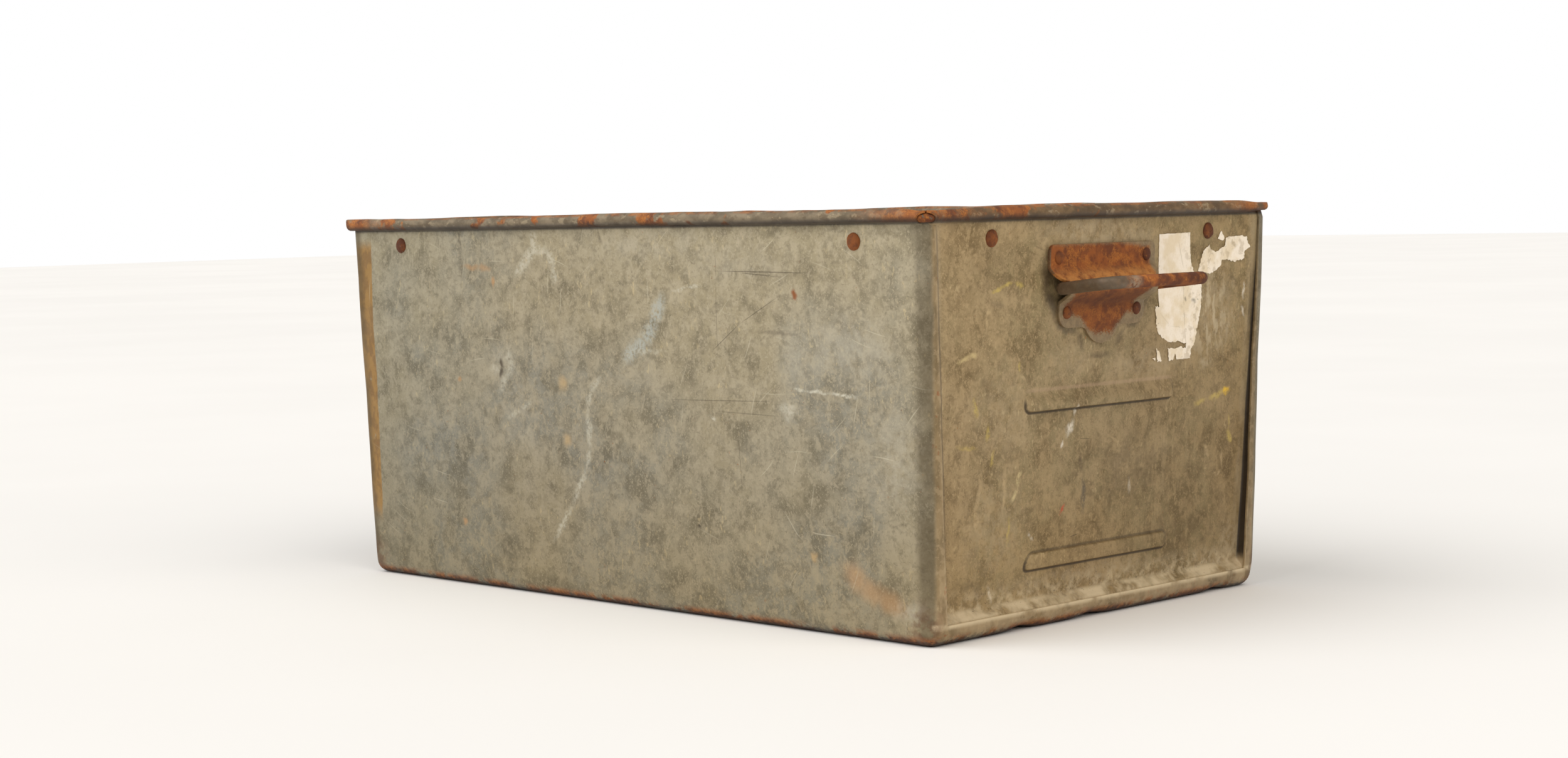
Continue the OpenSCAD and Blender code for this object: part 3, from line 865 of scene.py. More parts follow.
def mottled(p, cool, warm, dark, pale, fleck):
    """Old zinc from a distance and up close: clouds, overlapping patches and flecks."""
    p.colour = p.mix(p.haze(100, 0.4, 0.6, 3, 0.5), cool, warm)
    blotch = p.noise(24, 4, 0.55)
    p.lay(dark, p.between(blotch, 0.5, 0.66), 0.6)
    p.lay(pale, p.between(blotch, 0.49, 0.33), 0.5)
    for size, edge, soft, tone, strength, stretch in (
            (13.0, 0.55, 0.05, pale, 0.5, (1, 1, 1.1)), (10.0, 0.56, 0.07, dark, 0.4, (1.1, 1.1, 1)),
            (6.5, 0.57, 0.05, pale, 0.38, (1, 1, 1.2)), (5.0, 0.58, 0.07, dark, 0.28, (1.2, 1.2, 1)),
            (3.0, 0.6, 0.04, pale, 0.56, (1, 1, 1.4)), (1.9, 0.6, 0.05, dark, 0.33, (1.2, 1.2, 1)),
            (1.0, 0.6, 0.04, pale, 0.75, (1, 1, 1.2))):
        p.lay(tone, p.patches(size, edge, soft, 3, stretch, 0.5), strength)
    p.lay(fleck, p.patches(2.6, 0.66, 0.04, 2, (1, 1, 2.0)), p.patches(30, 0.52, 0.1, 2), 0.5)
    p.lay(GRIME_AND_SHADE, p.patches(0.9, 0.72, 0.03, 2), 0.55)
    return blotch


def make_zinc(name, tones, rim_tones, marks):
    """Weathered galvanised sheet with its rolled rim, its foot and the marks of its own life, with painted
    light and shade near the rim and at the foot.
    """
    p = Paint(name)
    blotch = mottled(p, *tones)
    fine = p.noise(2.2, 5, 0.65)
    relief = marks(p)

    # Bare and rusty where the rim is rolled; painted light on the wall just below the roll, painted shade
    # under the roll, and dirt with painted shade at the foot
    rust, rust_fine = rust_colour(p, 0.8)
    on_rim = p.level(220.9, 221.8)
    along_rim = (1.6, 1.6, 1)
    rim_tone = p.mix(p.haze(11, 0.42, 0.6, 5, 0.6, along_rim), *rim_tones)
    rim_tone = p.mix(p.times(p.patches(5, 0.57, 0.05, 4, along_rim), 0.5), rim_tone, "4f3c26")
    rim_tone = p.mix(p.times(p.patches(3.5, 0.6, 0.04, 4, along_rim), 0.4), rim_tone, "b3a284")
    p.lay(rim_tone, on_rim, 0.9)
    near_corner = p.times(p.between(p.plus(p.far_x, p.far_y), 350, 395), p.haze(16, 0.3, 0.5))
    rim_rust = p.times(on_rim, p.most(p.patches(30, 0.58, 0.025), near_corner))
    rim_line = p.times(p.level(226.9, 228.0), p.patches(14, 0.49, 0.07))
    on_floor = p.times(p.between(p.far_x, FLANGE_BASE - 9, FLANGE_BASE - 14),
                       p.between(p.far_y, WALL_BASE - 9, WALL_BASE - 14))
    at_foot = p.minus(1.0, on_floor)
    foot_patches = p.most(p.times(p.patches(15, 0.46, 0.06), at_foot), p.patches(40, 0.55, 0.05))
    foot_rust = p.times(p.level(7, 2.5), foot_patches)
    spots = p.times(p.patches(2.2, 0.71, 0.02), p.patches(50, 0.52, 0.05, 2))
    rusted = p.most(rim_rust, foot_rust, p.times(spots, 0.8), p.times(rim_line, 0.7))
    p.lay(rust, rusted, 0.92)
    # Painted light: the wall just below the rim made lighter.
    p.lighten(p.level(200, 219, 1.0, 1.13))
    # Painted shade: the underside of the roll and the sheet just below it darkened.
    under = p.times(p.level(225.2, 221.8), p.level(219.4, 221))
    p.lay(SOOT_AND_SHADE, under, 0.86)
    # Dirt and painted shade: the lowest few millimetres, where the sheet bends under, darkened.
    foot = p.times(p.between(p.plus(p.z, p.times(p.minus(fine, 0.5), 6)), 4.6, 1.4), at_foot)
    p.lay(SOOT_AND_SHADE, foot, 0.85)

    roughness = p.between(blotch, 0.3, 0.7, 0.5, 0.64)
    roughness = p.math("ADD", roughness, p.times(rusted, 0.2), clamp=True)
    metallic = p.between(p.most(rusted, foot, under), 0, 0.6, 0.22, 0.0)
    height = p.plus(p.times(fine, 0.32), p.times(p.noise(0.8, 3, 0.6), 0.12),
                    p.times(rusted, rust_fine, 0.6))
    return p.finish(roughness, metallic, p.minus(height, p.times(relief, 0.15)))


# ---- Marks of use, in the plane of their face ----
# Dust and dirt as (centre, reach, strength), the other marks as (width, tone, strength, *points)
CHALK, BLUE_CHALK, PEACH, FLECK = "d0cbb9", "b3b7b0", "b88e60", "c0a273"
SIDE_DUST = (
    ((190, 155), (52, 30), 0.5), ((222, 98), (30, 42), 0.4), ((150, 150), (16, 26), 0.35),
    ((40, 212), (90, 14), 0.3), ((-98, 136), (24, 24), 0.25), ((145, 120), (12, 9), 0.45),
    ((-84, 102), (30, 22), 0.2), ((228, 18), (24, 9), 0.5), ((105, 200), (60, 16), 0.22))
SIDE_CHALK = (
    (3.4, CHALK, 0.5, (-66, 220), (-66, 209)), (4.2, CHALK, 0.55, (-67, 208), (-74, 202), (-83, 195)),
    (3.4, CHALK, 0.5, (-66, 208), (-53, 208), (-49, 197), (-48, 190)),
    (6.0, BLUE_CHALK, 0.7, (45, 179), (39, 168), (31, 156), (20, 151), (14, 146)),
    (1.6, CHALK, 0.35, (17, 150), (47, 150)),
    (2.8, CHALK, 0.48, (-11, 133), (-20, 125), (-22, 115), (-22, 90), (-25, 80), (-40, 57), (-58, 34)),
    (1.8, CHALK, 0.35, (-72, 117), (-84, 112), (-98, 106)),
    (1.2, CHALK, 0.85, (150, 132), (157, 132), (176, 131), (196, 130)),
    (3.2, CHALK, 0.45, (139, 122), (148, 122), (144, 117)),
    (1.4, CHALK, 0.55, (55, 185), (67, 187), (79, 188)),
    (3.4, CHALK, 0.4, (-94, 147), (-91, 138), (-97, 131), (-102, 124)),
    (3.2, CHALK, 0.35, (-112, 136), (-103, 136)), (1.3, CHALK, 0.6, (84, 115), (86, 113)))
SIDE_MARKS = (
    (8, PEACH, 0.5, (187, 36), (195, 29), (208, 24), (220, 20)),
    (2.2, PEACH, 0.8, (-105, 191), (-105, 187)), (2.6, PEACH, 0.7, (-144, 40), (-144, 39)),
    (2.2, PEACH, 0.5, (-109, 197), (-118, 198), (-135, 198)),
    (2.0, PEACH, 0.6, (-143, 129), (-142, 128)), (4.5, FLECK, 0.6, (-43, 130), (-43, 129)),
    (4.5, FLECK, 0.6, (-42, 96), (-42, 96)), (3.0, FLECK, 0.7, (160, 42), (160, 41)),
    (1.7, GRIME_AND_SHADE, 0.8, (-100, 141), (-99, 138), (-103, 131)), (2.1, RUST_MID, 0.95, (152, 185), (152, 183)),
    (1.4, GRIME_AND_SHADE, 0.45, (-137, 219), (-137, 212)), (3.4, GRIME_AND_SHADE, 0.2, (-137, 212), (-137, 192)),
    (1.7, GRIME_AND_SHADE, 0.35, (-6, 218), (-4, 211)), (0.7, GRIME_AND_SHADE, 0.55, (90, 196), (168, 195)),
    (0.7, GRIME_AND_SHADE, 0.5, (110, 195), (140, 193)), (0.6, GRIME_AND_SHADE, 0.5, (85, 151), (109, 167), (139, 182)),
    (0.7, GRIME_AND_SHADE, 0.4, (46, 123), (136, 125)), (0.7, GRIME_AND_SHADE, 0.35, (86, 118), (140, 117)),
    (1.3, GRIME_AND_SHADE, 0.35, (118, 163), (157, 162)), (0.6, GRIME_AND_SHADE, 0.4, (91, 205), (91, 193), (90, 151)),
    (0.6, GRIME_AND_SHADE, 0.35, (104, 112), (106, 70)), (1.1, SOOT_AND_SHADE, 0.7, (70, 53), (70, 52)))
SIDE_DARK_SCRATCHES = (((0.996, 0, 0.09), 9, 60, 0.26, 0.8), ((0, 0, 1), 15, 45, 0.26, 0.7),
                       ((0.82, 0, 0.572), 12, 40, 0.26, 0.7), ((0.9, 0, -0.436), 14, 40, 0.26, 0.7))
SIDE_PALE_SCRATCHES = (((0.97, 0, -0.243), 9, 22, 0.34, 0.8), ((0.3, 0, 0.954), 10, 20, 0.34, 0.8),
                       ((0.766, 0, 0.643), 12, 20, 0.32, 0.8))


def wrap_marks(p):
    """What use left on the long sides and on the flanges round the ends, with painted shade and painted
    highlights.
    """
    near = p.times(p.between(p.y, -130, -140), p.out_y)
    chalk = p.haze(2.2, 0.34, 0.58, 4, 0.7)
    # Painted shade with some dirt: darker towards the bottom, as if lit from above; a little lighter
    # towards the front end.
    p.lighten(p.level(0, 205, 0.73, 1.0))
    p.lighten(p.between(p.x, -230, 190, 0.94, 1.06))
    p.tint((1.04, 0.985, 0.86), p.level(90, 0))
    p.tint((0.93, 1.0, 1.08), p.times(p.between(p.x, -60, -200), 0.45))
    for centre, reach, strength in SIDE_DUST:
        p.lay("b9b2a0", p.cloud(centre, reach, "xz"), near, p.haze(9, 0.36, 0.6, 5, 0.65), strength)
    p.draw(SIDE_CHALK, "xz", chalk, near)
    p.draw(SIDE_MARKS, "xz", near)
    stripe = p.times(p.between(p.plus(p.x, p.times(p.noise(20, 3), 3)), -227.6, -228.8),
                     p.level(32, 46), p.level(217, 208), p.haze(9, 0.22, 0.36), near)
    ochre = p.mix(p.patches(5, 0.52, 0.08, 4, (1, 1, 1.8)), "9c7538", "84602d")
    p.lay(ochre, stripe, 0.88)
    dark_scratch = p.most(*(p.scratches(*way) for way in SIDE_DARK_SCRATCHES))
    p.lay(GRIME_AND_SHADE, dark_scratch, 0.5)
    p.lay("cbc2aa", p.most(*(p.scratches(*way) for way in SIDE_PALE_SCRATCHES)), 0.5)

    # A band of painted shade beside each upright corner where the sheet bends round, then the browner
    # flange with a painted highlight along its edge
    lean = p.past(p.far_x, FLANGE_BASE, FLANGE_LEAN)
    bend = p.past(p.far_y, WALL_BASE, WALL_LEAN)
    corner_bend_shade = p.times(p.between(lean, -12, -5.5), p.between(bend, -5.5, -2.5),
                   p.between(p.noise(30, 3), 0.3, 0.55, 0.55, 1))
    # Painted shade on the corner bend.
    p.lay("4f4229", corner_bend_shade, 0.66)
    round_end = p.times(p.between(lean, -3.4, -0.9), p.between(bend, -2, -5))
    flange_tone = p.mix(p.patches(9, 0.5, 0.09, 5, (1, 1, 2.2)), "927b56", "776341")
    flange_tone = p.mix(p.times(p.patches(4, 0.56, 0.04), 0.5), flange_tone, "ab9470")
    flange_tone = p.mix(p.times(p.patches(6, 0.66, 0.02), 0.7), flange_tone, RUST_MID)
    flange_tone = p.shade(flange_tone, p.between(p.side, -100, 100, 1.04, 0.84))
    p.lay(flange_tone, round_end, 0.9)
    edge = p.past(p.far_y, OPENING_BASE, OPENING_LEAN)
    # Painted highlight along the flange's edge by the end's opening.
    p.lay("bda784", round_end, p.between(edge, 2.2, 0.4), p.haze(13, 0.34, 0.6), 0.45)
    p.lay("c9b28c", round_end, p.level(75, 20), p.level(7, 13),
          p.patches(7, 0.5, 0.1, 4, (1, 1, 2)), 0.35)
    # Dust with a painted highlight on the foot's crest.
    p.lay("dac7a4", p.between(lean, -3, -1), p.level(8, 10.8), p.level(13, 11.4),
          p.haze(16, 0.3, 0.5, 5), 0.85)
    p.lay(RUST_DARK, p.between(p.far_y, 132, 141), p.between(p.far_x, 222, 236), p.level(30, 9),
          p.patches(9, 0.47, 0.06), 0.5)
    return dark_scratch


def rib_shade_and_grime(p):
    """Painted shade, with some dirt, in the creases round the pressed ribs, heaviest along their lower
    edges where the ribs shade the panel.
    """
    lines = []
    for (half_length, half_width, middle), upper, slant in zip(RIBS, (0.1, 0.6), (0.0, 0.5)):
        up = p.minus(p.z, middle)
        reach = p.most(p.side, p.minus(p.times(up, slant), p.side))
        a = p.most(p.minus(reach, half_length - 4), 0.0)
        b = p.most(p.minus(p.math("ABSOLUTE", up), half_width - 4), 0.0)
        length = p.math("SQRT", p.plus(p.times(a, a), p.times(b, b)))
        off = p.math("ABSOLUTE", p.minus(length, 4.1))
        lines.append(p.times(p.between(off, 1.15, 0.25),
                             p.between(up, half_width * 0.6, -half_width * 0.3, upper, 1)))
    return p.most(*lines)


YELLOW, CREAM, WHITE = "c9b05c", "bfa67c", "ddd3c1"
END_DUST = (
    ((-20, 214), (55, 14), 0.5), ((20, 208), (50, 12), 0.4), ((-88, 60), (40, 46), 0.3),
    ((-85, 120), (40, 40), 0.26), ((105, 168), (28, 34), 0.42), ((40, 139), (60, 13), 0.32),
    ((-30, 144), (30, 16), 0.25), ((97, 135), (9, 5), 0.8), ((0, 24), (130, 8), 0.35))
END_DIRT = (
    ((30, 80), (85, 34), 0.36), ((-92, 196), (30, 26), 0.22), ((-108, 24), (22, 13), 0.42),
    ((62, 40), (60, 24), 0.26), ((-98, 134), (7, 8), 0.35), ((100, 202), (22, 12), 0.25))
# Painted shadow round the handle plate as (width, strength, *points), from the middle of its hinge
PLATE_SHADOW = (
    (5, 0.75, (-48, 12), (-46, -1), (-42, -9)), (3.2, 0.6, (-40, -6), (-39, -17), (-31, -23)),
    (2.6, 0.5, (-31, -24), (-22, -24)), (2.6, 0.45, (-20, -24), (-14, -34)),
    (2.4, 0.45, (-13, -38), (12, -38)), (2.4, 0.4, (14, -33), (22, -24)), (2.4, 0.4, (24, -24), (36, -22)),
    (2.4, 0.4, (-47, 22), (-48, 14)), (2.4, 0.35, (40, -4), (40, -18)))
END_CHALK = (
    (1.5, YELLOW, 0.75, (-94, 183), (-86, 186), (-78, 187)), (2.1, YELLOW, 0.7, (-74, 187), (-70, 186)),
    (1.7, CREAM, 0.75, (-96, 177), (-98, 170), (-98, 164)),
    (3.6, CREAM, 0.3, (-97, 160), (-85, 152), (-71, 142)), (1.3, YELLOW, 0.6, (-71, 144), (-71, 141)),
    (1.8, "cfb985", 0.75, (-120, 148), (-111, 150), (-106, 151)),
    (2.6, CREAM, 0.35, (-106, 151), (-95, 147)), (2.4, YELLOW, 0.65, (-107, 126), (-105, 119)),
    (2.0, YELLOW, 0.6, (-95, 112), (-96, 106)), (1.6, YELLOW, 0.4, (-119, 103), (-104, 101)),
    (1.7, YELLOW, 0.6, (-91, 98), (-92, 92)), (1.5, CREAM, 0.65, (-81, 84), (-80, 74), (-83, 67)),
    (1.6, "d1bd8c", 0.7, (-68, 87), (-70, 78), (-75, 70)),
    (1.9, CREAM, 0.55, (-100, 82), (-104, 66), (-103, 58)),
    (1.2, YELLOW, 0.45, (-76, 63), (-78, 46)), (1.7, WHITE, 0.8, (-23, 118), (-23, 114)),
    (3.0, WHITE, 0.9, (-25, 109), (-28, 104)), (1.2, WHITE, 0.8, (-32, 99), (-33, 97)),
    (1.9, YELLOW, 0.5, (89, 112), (98, 114)), (2.5, YELLOW, 0.62, (103, 114), (114, 117)),
    (2.5, "dfb42f", 0.95, (116, 117), (120, 118)), (1.2, YELLOW, 0.35, (122, 104), (122, 94)),
    (2.5, YELLOW, 0.7, (122, 92), (124, 88)), (1.2, CREAM, 0.5, (99, 88), (104, 78)),
    (1.2, CREAM, 0.5, (108, 70), (112, 68), (115, 72), (116, 82)), (1.0, CREAM, 0.4, (8, 100), (17, 94)),
    (1.5, WHITE, 0.35, (28, 73), (28, 66)), (1.5, WHITE, 0.5, (-60, 52), (-56, 48)),
    (1.3, WHITE, 0.55, (-93, 26), (-90, 18)), (1.3, WHITE, 0.75, (133, 181), (132, 172)),
    (1.2, WHITE, 0.6, (132, 167), (134, 160)), (1.9, "4a3626", 0.6, (-17, 92), (-16, 82)),
    (2.5, "454038", 0.7, (-14, 78), (-13, 59)), (1.0, "b5492b", 0.9, (-33, 60), (-30, 64)))
END_SCRATCHES = (
    (0.6, GRIME_AND_SHADE, 0.5, (-18, 100), (-8, 99)), (0.6, GRIME_AND_SHADE, 0.6, (-24, 46), (-17, 47)),
    (1.6, GRIME_AND_SHADE, 0.25, (-96, 178), (-84, 175)), (0.8, GRIME_AND_SHADE, 0.3, (-60, 207), (-52, 204)))


def end_marks(p):
    """Chalk, drips and chips on the front end, old glue round its label, dirt with painted shade in the
    creases, painted highlights on the rib and the foot's crest, painted shadow round the handle plate.
    """
    front = p.times(p.between(p.x, 200, 210), p.out_x)
    # The end made darker towards its right side and towards the bottom.
    p.lighten(p.between(p.y, -125, 125, 0.99, 0.81))
    p.lighten(p.level(60, 200, 0.94, 1.08))
    p.tint((1.0, 0.96, 0.86), p.most(p.between(p.y, -20, 120), p.level(110, 30)))
    chalk = p.haze(2.2, 0.3, 0.56, 4, 0.7)
    soft = p.haze(6, 0.36, 0.6, 5, 0.65)
    for centre, reach, strength in END_DUST:
        p.lay("b5a383", p.cloud(centre, reach, "yz"), soft, front, strength)
    p.lay("c3b293", p.cloud((96, 165), (42, 40), "yz"), p.patches(5, 0.54, 0.04, 4, (1, 1, 2.4)),
          front, 0.6)
    for centre, reach, strength in END_DIRT:
        p.lay("56452a", p.cloud(centre, reach, "yz"), p.haze(8, 0.62, 0.4, 5, 0.6), front, strength)
    # Painted shadow on the panel round the handle plate.
    for width, strength, *points in PLATE_SHADOW:
        points = [(HANDLE_Y + a, PIVOT_Z + b) for a, b in points]
        p.lay(GRIME_AND_SHADE, p.stroke(points, width, "yz"), p.out_x, strength)
    p.draw(END_CHALK, "yz", chalk, front)
    p.draw(END_SCRATCHES, "yz", front)
    p.lay("b39c74", p.patches(4.5, 0.58, 0.05, 3, (1, 1, 5)), p.level(185, 150),
          p.haze(40, 0.42, 0.6, 3), 0.2)
    scratch = p.most(p.scratches((0, 0.98, 0.2), 22, 26, 0.3), p.scratches((0, 0.3, 0.954), 20, 24, 0.3))
    p.lay("c4ae88", scratch, 0.35)

    # Painted shade with dirt in the creases round the ribs, and a painted highlight on the upper rib's top
    # edge; dirt below the slope's crest, which carries dust and a painted highlight; painted shadow with
    # dirt down the gap at each side and at the step on the near side
    # Painted shade with dirt round the ribs.
    p.lay("372a1a", rib_shade_and_grime(p), 0.85)
    # Painted highlight along the upper rib's top edge.
    p.lay("c0a283", p.level(127.4, 128.6), p.level(130.8, 129),
          p.between(p.far_y, 70, 58), 0.35)
    # Dust with a painted highlight on the slope's crest.
    crest = p.between(p.math("ABSOLUTE", p.minus(p.z, 13.4)), 4.4, 0.8)
    crest_dust_and_highlight = p.most(p.times(crest, p.haze(24, 0.34, 0.56)),
                  p.times(p.level(30, 15), p.patches(6, 0.54, 0.13, 4), 0.6))
    p.lay("dac7a4", crest_dust_and_highlight, 0.85)
    p.lay(SOOT_AND_SHADE, p.level(34, 20), p.level(13, 15), p.patches(1.3, 0.66, 0.03), 0.7)
    # Painted shadow: a dark line along the step between flange and panel on the near side.
    edge = p.past(p.far_y, OPENING_BASE, OPENING_LEAN)
    depth = p.math("MULTIPLY_ADD", p.z, -RECESS / WIRE_Z, SHEET + RECESS)
    p.lay(GRIME_AND_SHADE, p.between(p.plus(edge, depth), -1.7, -0.4), p.level(222, 212),
          p.level(15, 120, 0.1, 1), p.between(p.side, 10, -10), 0.7)
    p.lay("b8a688", p.between(edge, -7, -1.5), p.haze(12, 0.34, 0.6, 4, 0.55, (1, 1, 3)), 0.38)
    p.lay("c8b595", p.cloud((128, 22), (20, 30), "yz"), p.patches(5, 0.47, 0.14), front, 0.4)
    # Painted shadow with some dirt down the gap between each flange and the panel.
    inward = p.past(p.far_x, FIELD_BASE, FIELD_LEAN)
    p.lay("1d1209", p.between(inward, 0.15, 0.8), p.between(edge, -1.6, -0.6), p.level(212, 200),
          p.level(15, 21), 0.92)
    return scratch


def make_rust(name, bare, where, brightness=0.5, shade=1.0, deep=0.4):
    """Rusted steel that keeps its zinc where the mask from where(p) says."""
    p = Paint(name)
    p.colour, fine = rust_colour(p, brightness)
    p.lay("45281a", p.patches(3.5, 0.58, 0.06, 5), deep)
    p.lighten(shade)
    left = where(p)
    p.lay(p.mix(p.haze(2.6, 0.38, 0.62, 5, 0.65), bare, p.mix(0.3, bare, GRIME_AND_SHADE)), left)
    roughness = p.between(left, 0, 1, 0.84, 0.5)
    metallic = p.between(left, 0, 1, 0.0, 0.3)
    height = p.plus(p.times(fine, p.between(left, 0, 1, 0.7, 0.2)), p.times(p.noise(0.7, 3, 0.6), 0.25))
    return p.finish(roughness, metallic, height)


def scattered(edge):
    return lambda p: p.patches(3.2, edge, 0.04, 5)


def plate_zinc(p):
    """Zinc survives round the plate's edges, widest at the right wing, the skirt and the tongue; before
    that the rust gets a brighter band above the hinge, a darker skirt, and painted shadow under the barrel
    and along its left edge.
    """
    side = p.minus(p.side, HANDLE_Y)
    height = p.minus(p.z, PIVOT_Z)
    p.lay("8f4c16", 0.15)
    p.lay("c48643", p.between(height, 12, 6.5), p.between(height, 1, 4), p.haze(5, 0.3, 0.62, 5, 0.7), 0.75)
    # A darker skirt below the hinge, then painted shadow just under the barrel and along the plate's left
    # edge.
    p.lay("5a3014", p.between(height, -2, -7, 0, 0.3))
    p.lay("4d2a14", p.between(height, 0, -3), p.between(height, -14, -8), 0.5)
    p.lay(GRIME_AND_SHADE, p.between(side, -45, -46.1), 0.7)
    wander = p.math("MULTIPLY_ADD", p.noise(6, 5, 0.75), 9.0, -4.5)
    speckle = p.math("MULTIPLY_ADD", p.noise(0.7, 3, 0.7), 15.0, -7.5)
    right = p.minus(side, p.between(height, -8, 8, 28, 40.5))
    left = p.minus(p.times(side, -1.0), p.between(height, -8, 8, 32, 46.2))
    top = p.minus(height, p.between(side, 10, 40, 23.2, 20.5))
    foot = p.minus(p.between(p.math("ABSOLUTE", side), 24, 6, -14.5, -25), height)
    fade = p.between(height, -6, 6, 0.8, 0.3)
    edge = p.plus(p.most(right, left, top, foot), p.times(p.plus(wander, speckle), fade))
    return p.times(p.between(edge, -1.2, 2.4), 0.9)


def bail_zinc(p):
    """The near leg of each handle keeps its zinc, with a pale painted highlight near where it meets the
    grip.
    """
    side = p.minus(p.side, HANDLE_Y)
    p.lighten(p.between(side, -15, 36, 1.12, 0.78))
    # Painted highlight: a pale patch on the near leg by the grip bend.
    pale_highlight = p.times(p.between(p.math("ABSOLUTE", p.plus(side, 25)), 9, 1), p.patches(3, 0.46, 0.1))
    p.lay("a89c84", pale_highlight, 0.5)
    wander = p.math("MULTIPLY_ADD", p.noise(6, 5, 0.7), 26.0, -13.0)
    left = p.times(p.between(p.plus(side, wander), -22, -35), 0.9)
    return p.times(left, p.minus(1.0, p.times(pale_highlight, 0.7)))


def make_paper_material():
    """Old label stock: cream, stained, creased, dirt and glue showing through."""
    p = Paint("aged_paper")
    p.colour = p.mix(p.haze(14, 0.4, 0.62, 4, 0.6), "f4e8d6", "e6d5b8")
    fibre = p.noise(1.0, 4, 0.7, (1, 1, 2))
    p.lay("cbb797", p.between(fibre, 0.5, 0.75), 0.3)
    p.lay("a59170", p.patches(5, 0.56, 0.05, 5), p.between(p.y, 66, 80), 0.4)
    p.lay("6b5f4c", p.patches(2.4, 0.68, 0.03), p.patches(22, 0.5, 0.05), 0.6)
    crease = p.most(p.stroke([(68, 206), (73, 190), (74.5, 168), (76, 156), (78, 145)], 0.7, "yz"),
                    p.times(p.stroke([(52, 166), (62, 158), (72, 157)], 0.6, "yz"), 0.5),
                    p.stroke([(118.5, 203.6), (125, 202)], 1.2, "yz"))
    p.lay("8f7c5e", crease, 0.3)
    spots = p.most(p.stroke([(76, 173.6), (76.8, 172.4)], 1.5, "yz"),
                   p.stroke([(82.6, 171.8), (84.6, 171)], 1.6, "yz"))
    p.lay("5c5546", spots, 0.6)
    return p.finish(0.85, 0.0, p.minus(p.times(fibre, 0.2), p.times(crease, 0.5)), 0.6)


# ---- The object ----
WRAP_ZINC = make_zinc("weathered_zinc_sides", ("918c7c", "9f9377", "6c634d", "b0a48a", "cbb890"),
                      ("5f523f", "7f705a"), wrap_marks)
END_ZINC = make_zinc("weathered_zinc_ends", ("92805a", "97805a", "6b5734", "ae966e", "c9b388"),
                     ("523f2b", "735a3c"), end_marks)
WIRE_RUST = make_rust("rusted_wire", "6d6455", scattered(0.6), 0.5, 1.0)
RIVET_RUST = make_rust("rusted_rivets", "7a6b58", scattered(0.68), 0.1, 0.85)
PLATE_RUST = make_rust("rusted_plate", "93805f", plate_zinc, 0.7, 1.08, 0.12)
BAIL_RUST = make_rust("rusted_handle_rod", "665a48", bail_zinc, 0.5, 1.05, 0.1)
PAPER = make_paper_material()

make_body_wrap(WRAP_ZINC)
make_rim_wire(WIRE_RUST)
for end, is_rear in (("front", False), ("rear", True)):
    make_end_panel(f"tote_{end}_end_panel", END_ZINC, f"{end}_end_panel", is_rear)
    make_handle_plate(f"tote_{end}_handle_plate", PLATE_RUST, f"{end}_handle_plate", is_rear)
    make_plate_rivets(f"tote_{end}_plate_rivets", RIVET_RUST, f"{end}_plate_rivets", is_rear)
    make_bail(f"tote_{end}_bail", BAIL_RUST, f"{end}_bail", f"{end}_bail", is_rear)
for corner, x_side, y_side in (("front_left", 1, -1), ("front_right", 1, 1),
                               ("rear_left", -1, 1), ("rear_right", -1, -1)):
    make_gusset(f"tote_gusset_{corner}", WRAP_ZINC, f"gusset_{corner}", x_side, y_side)
    make_corner_rivets(f"tote_rivets_{corner}", RIVET_RUST, f"rivets_{corner}", x_side, y_side)

# Corners of each scrap as (across, up) millimetres on the front end; a third 0 is a clean cut
make_paper("tote_label_large", PAPER, "label_large_scrap", [
    [(49.5, 210.5, 0), (78.5, 211, 0), (79, 199), (80, 194), (83, 188.5), (91, 180.5),
     (91, 170), (90.5, 166.5), (88.5, 159), (86.5, 151.5), (85, 146), (82.5, 144),
     (82, 138.5, 0), (69, 138.5), (67, 142), (65.5, 139), (61.5, 138), (60, 145.5),
     (66, 145), (72, 146), (77, 144.5), (78, 147.5), (76.5, 147.5), (70.5, 149),
     (61, 149), (53.5, 152.5), (50, 156), (48.5, 161), (47.5, 170), (51, 169.5, 0),
     (49.5, 180.5, 0)],
    [(49, 146), (52.5, 143.5), (54.5, 138.5), (50.5, 138)],
    [(45.5, 140.5), (48, 141), (48, 139)]], 4)
make_paper("tote_label_small", PAPER, "label_small_scrap", [
    [(87, 188.5), (91.5, 200), (97.5, 203.5), (99, 200.5), (104, 199), (109, 201),
     (112, 202), (113, 206.5), (115.5, 207.5, 0), (128.5, 208), (133, 207.5), (134, 204.5),
     (136, 201), (132, 199), (131.5, 195), (130, 194), (121.5, 193), (117, 194),
     (110, 194.5), (108.5, 191), (103.5, 188), (98.5, 186.5)],
    [(109, 211), (111.5, 206.5), (110.5, 205.5), (105.5, 206.5), (107, 209)]], 9)


# ---- Floor, light and camera ----
def make_floor():
    mesh = bpy.data.meshes.new("floor")
    half = 12
    mesh.from_pydata([(-half, -half, 0), (half, -half, 0), (half, half, 0), (-half, half, 0)],
                     [], [(0, 1, 2, 3)])
    floor = bpy.data.objects.new("floor", mesh)
    bpy.context.scene.collection.objects.link(floor)
    p = Paint("pale_floor")
    p.colour = p.mix(p.haze(700, 0.3, 0.7, 3), (0.91, 0.905, 0.895, 1), (0.94, 0.935, 0.925, 1))
    mesh.materials.append(p.finish(0.7, 0.0, p.noise(4, 3), 0.1))


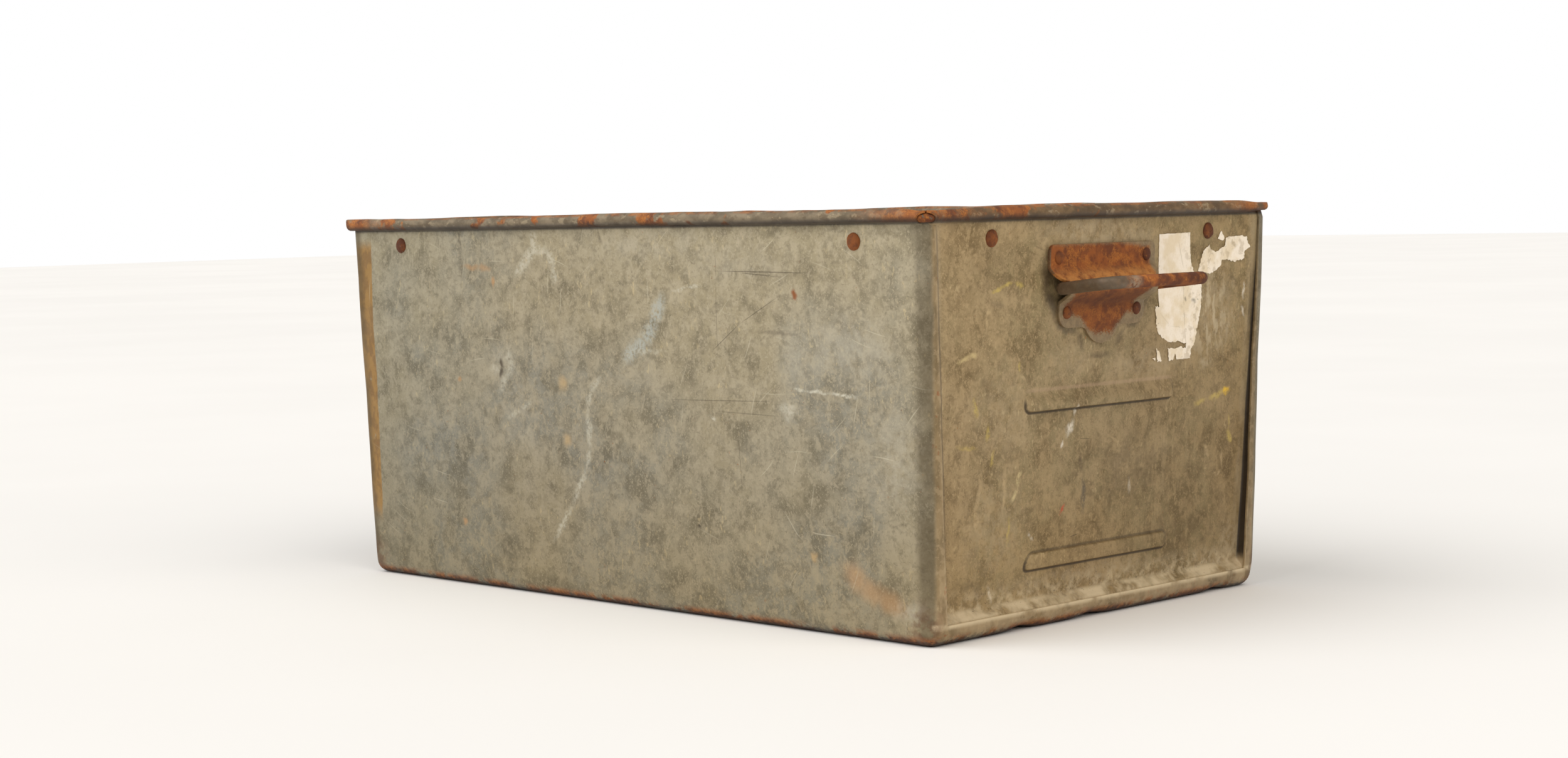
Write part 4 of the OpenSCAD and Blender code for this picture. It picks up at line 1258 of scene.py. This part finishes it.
def make_sun(name, towards, strength, colour):
    data = bpy.data.lights.new(name, "SUN")
    data.angle = math.radians(55)
    data.energy = strength
    data.color = colour
    lamp = bpy.data.objects.new(name, data)
    lamp.rotation_euler = (-Vector(towards)).to_track_quat("-Z", "Y").to_euler()
    bpy.context.scene.collection.objects.link(lamp)


def make_world():
    """Soft light from all round, and plain white where the camera looks past the object."""
    world = bpy.data.worlds.new("studio")
    world.use_nodes = True
    tree = world.node_tree
    light = tree.nodes["Background"]
    light.inputs["Color"].default_value = (1, 0.99, 0.97, 1)
    light.inputs["Strength"].default_value = 0.45
    seen = tree.nodes.new("ShaderNodeBackground")
    seen.inputs["Color"].default_value = (1, 1, 1, 1)
    choice = tree.nodes.new("ShaderNodeMixShader")
    tree.links.new(tree.nodes.new("ShaderNodeLightPath").outputs["Is Camera Ray"], choice.inputs[0])
    tree.links.new(light.outputs[0], choice.inputs[1])
    tree.links.new(seen.outputs[0], choice.inputs[2])
    tree.links.new(choice.outputs[0], tree.nodes["World Output"].inputs["Surface"])
    bpy.context.scene.world = world


def make_camera():
    """The photograph's view: beyond the front left corner, level with the rim."""
    place = Vector((1.1265, -1.1263, 0.2297))
    yaw, pitch, roll = (math.radians(a) for a in (135.142, -3.7915, -1.2835))
    ahead = Vector((math.cos(yaw) * math.cos(pitch), math.sin(yaw) * math.cos(pitch), math.sin(pitch)))
    right = Vector((math.sin(yaw), -math.cos(yaw), 0))
    above = right.cross(ahead)
    tilted_right = right * math.cos(roll) + above * math.sin(roll)
    tilted_above = above * math.cos(roll) - right * math.sin(roll)
    data = bpy.data.cameras.new("photo_view")
    data.sensor_width = 36
    data.lens = 59.1
    data.clip_start = 0.02
    camera = bpy.data.objects.new("photo_view", data)
    turn = camera.matrix_world.to_3x3()
    turn.col[0], turn.col[1], turn.col[2] = tilted_right, tilted_above, -ahead
    camera.matrix_world = turn.to_4x4()
    camera.location = place
    bpy.context.scene.collection.objects.link(camera)
    bpy.context.scene.camera = camera


make_floor()
make_sun("key", (-0.5, -1.0, 1.15), 1.7, (1.0, 0.985, 0.96))
make_sun("warm_side", (1.0, -0.1, 1.0), 1.2, (1.0, 0.92, 0.82))
make_world()
bpy.context.scene.view_settings.view_transform = "Standard"
make_camera()
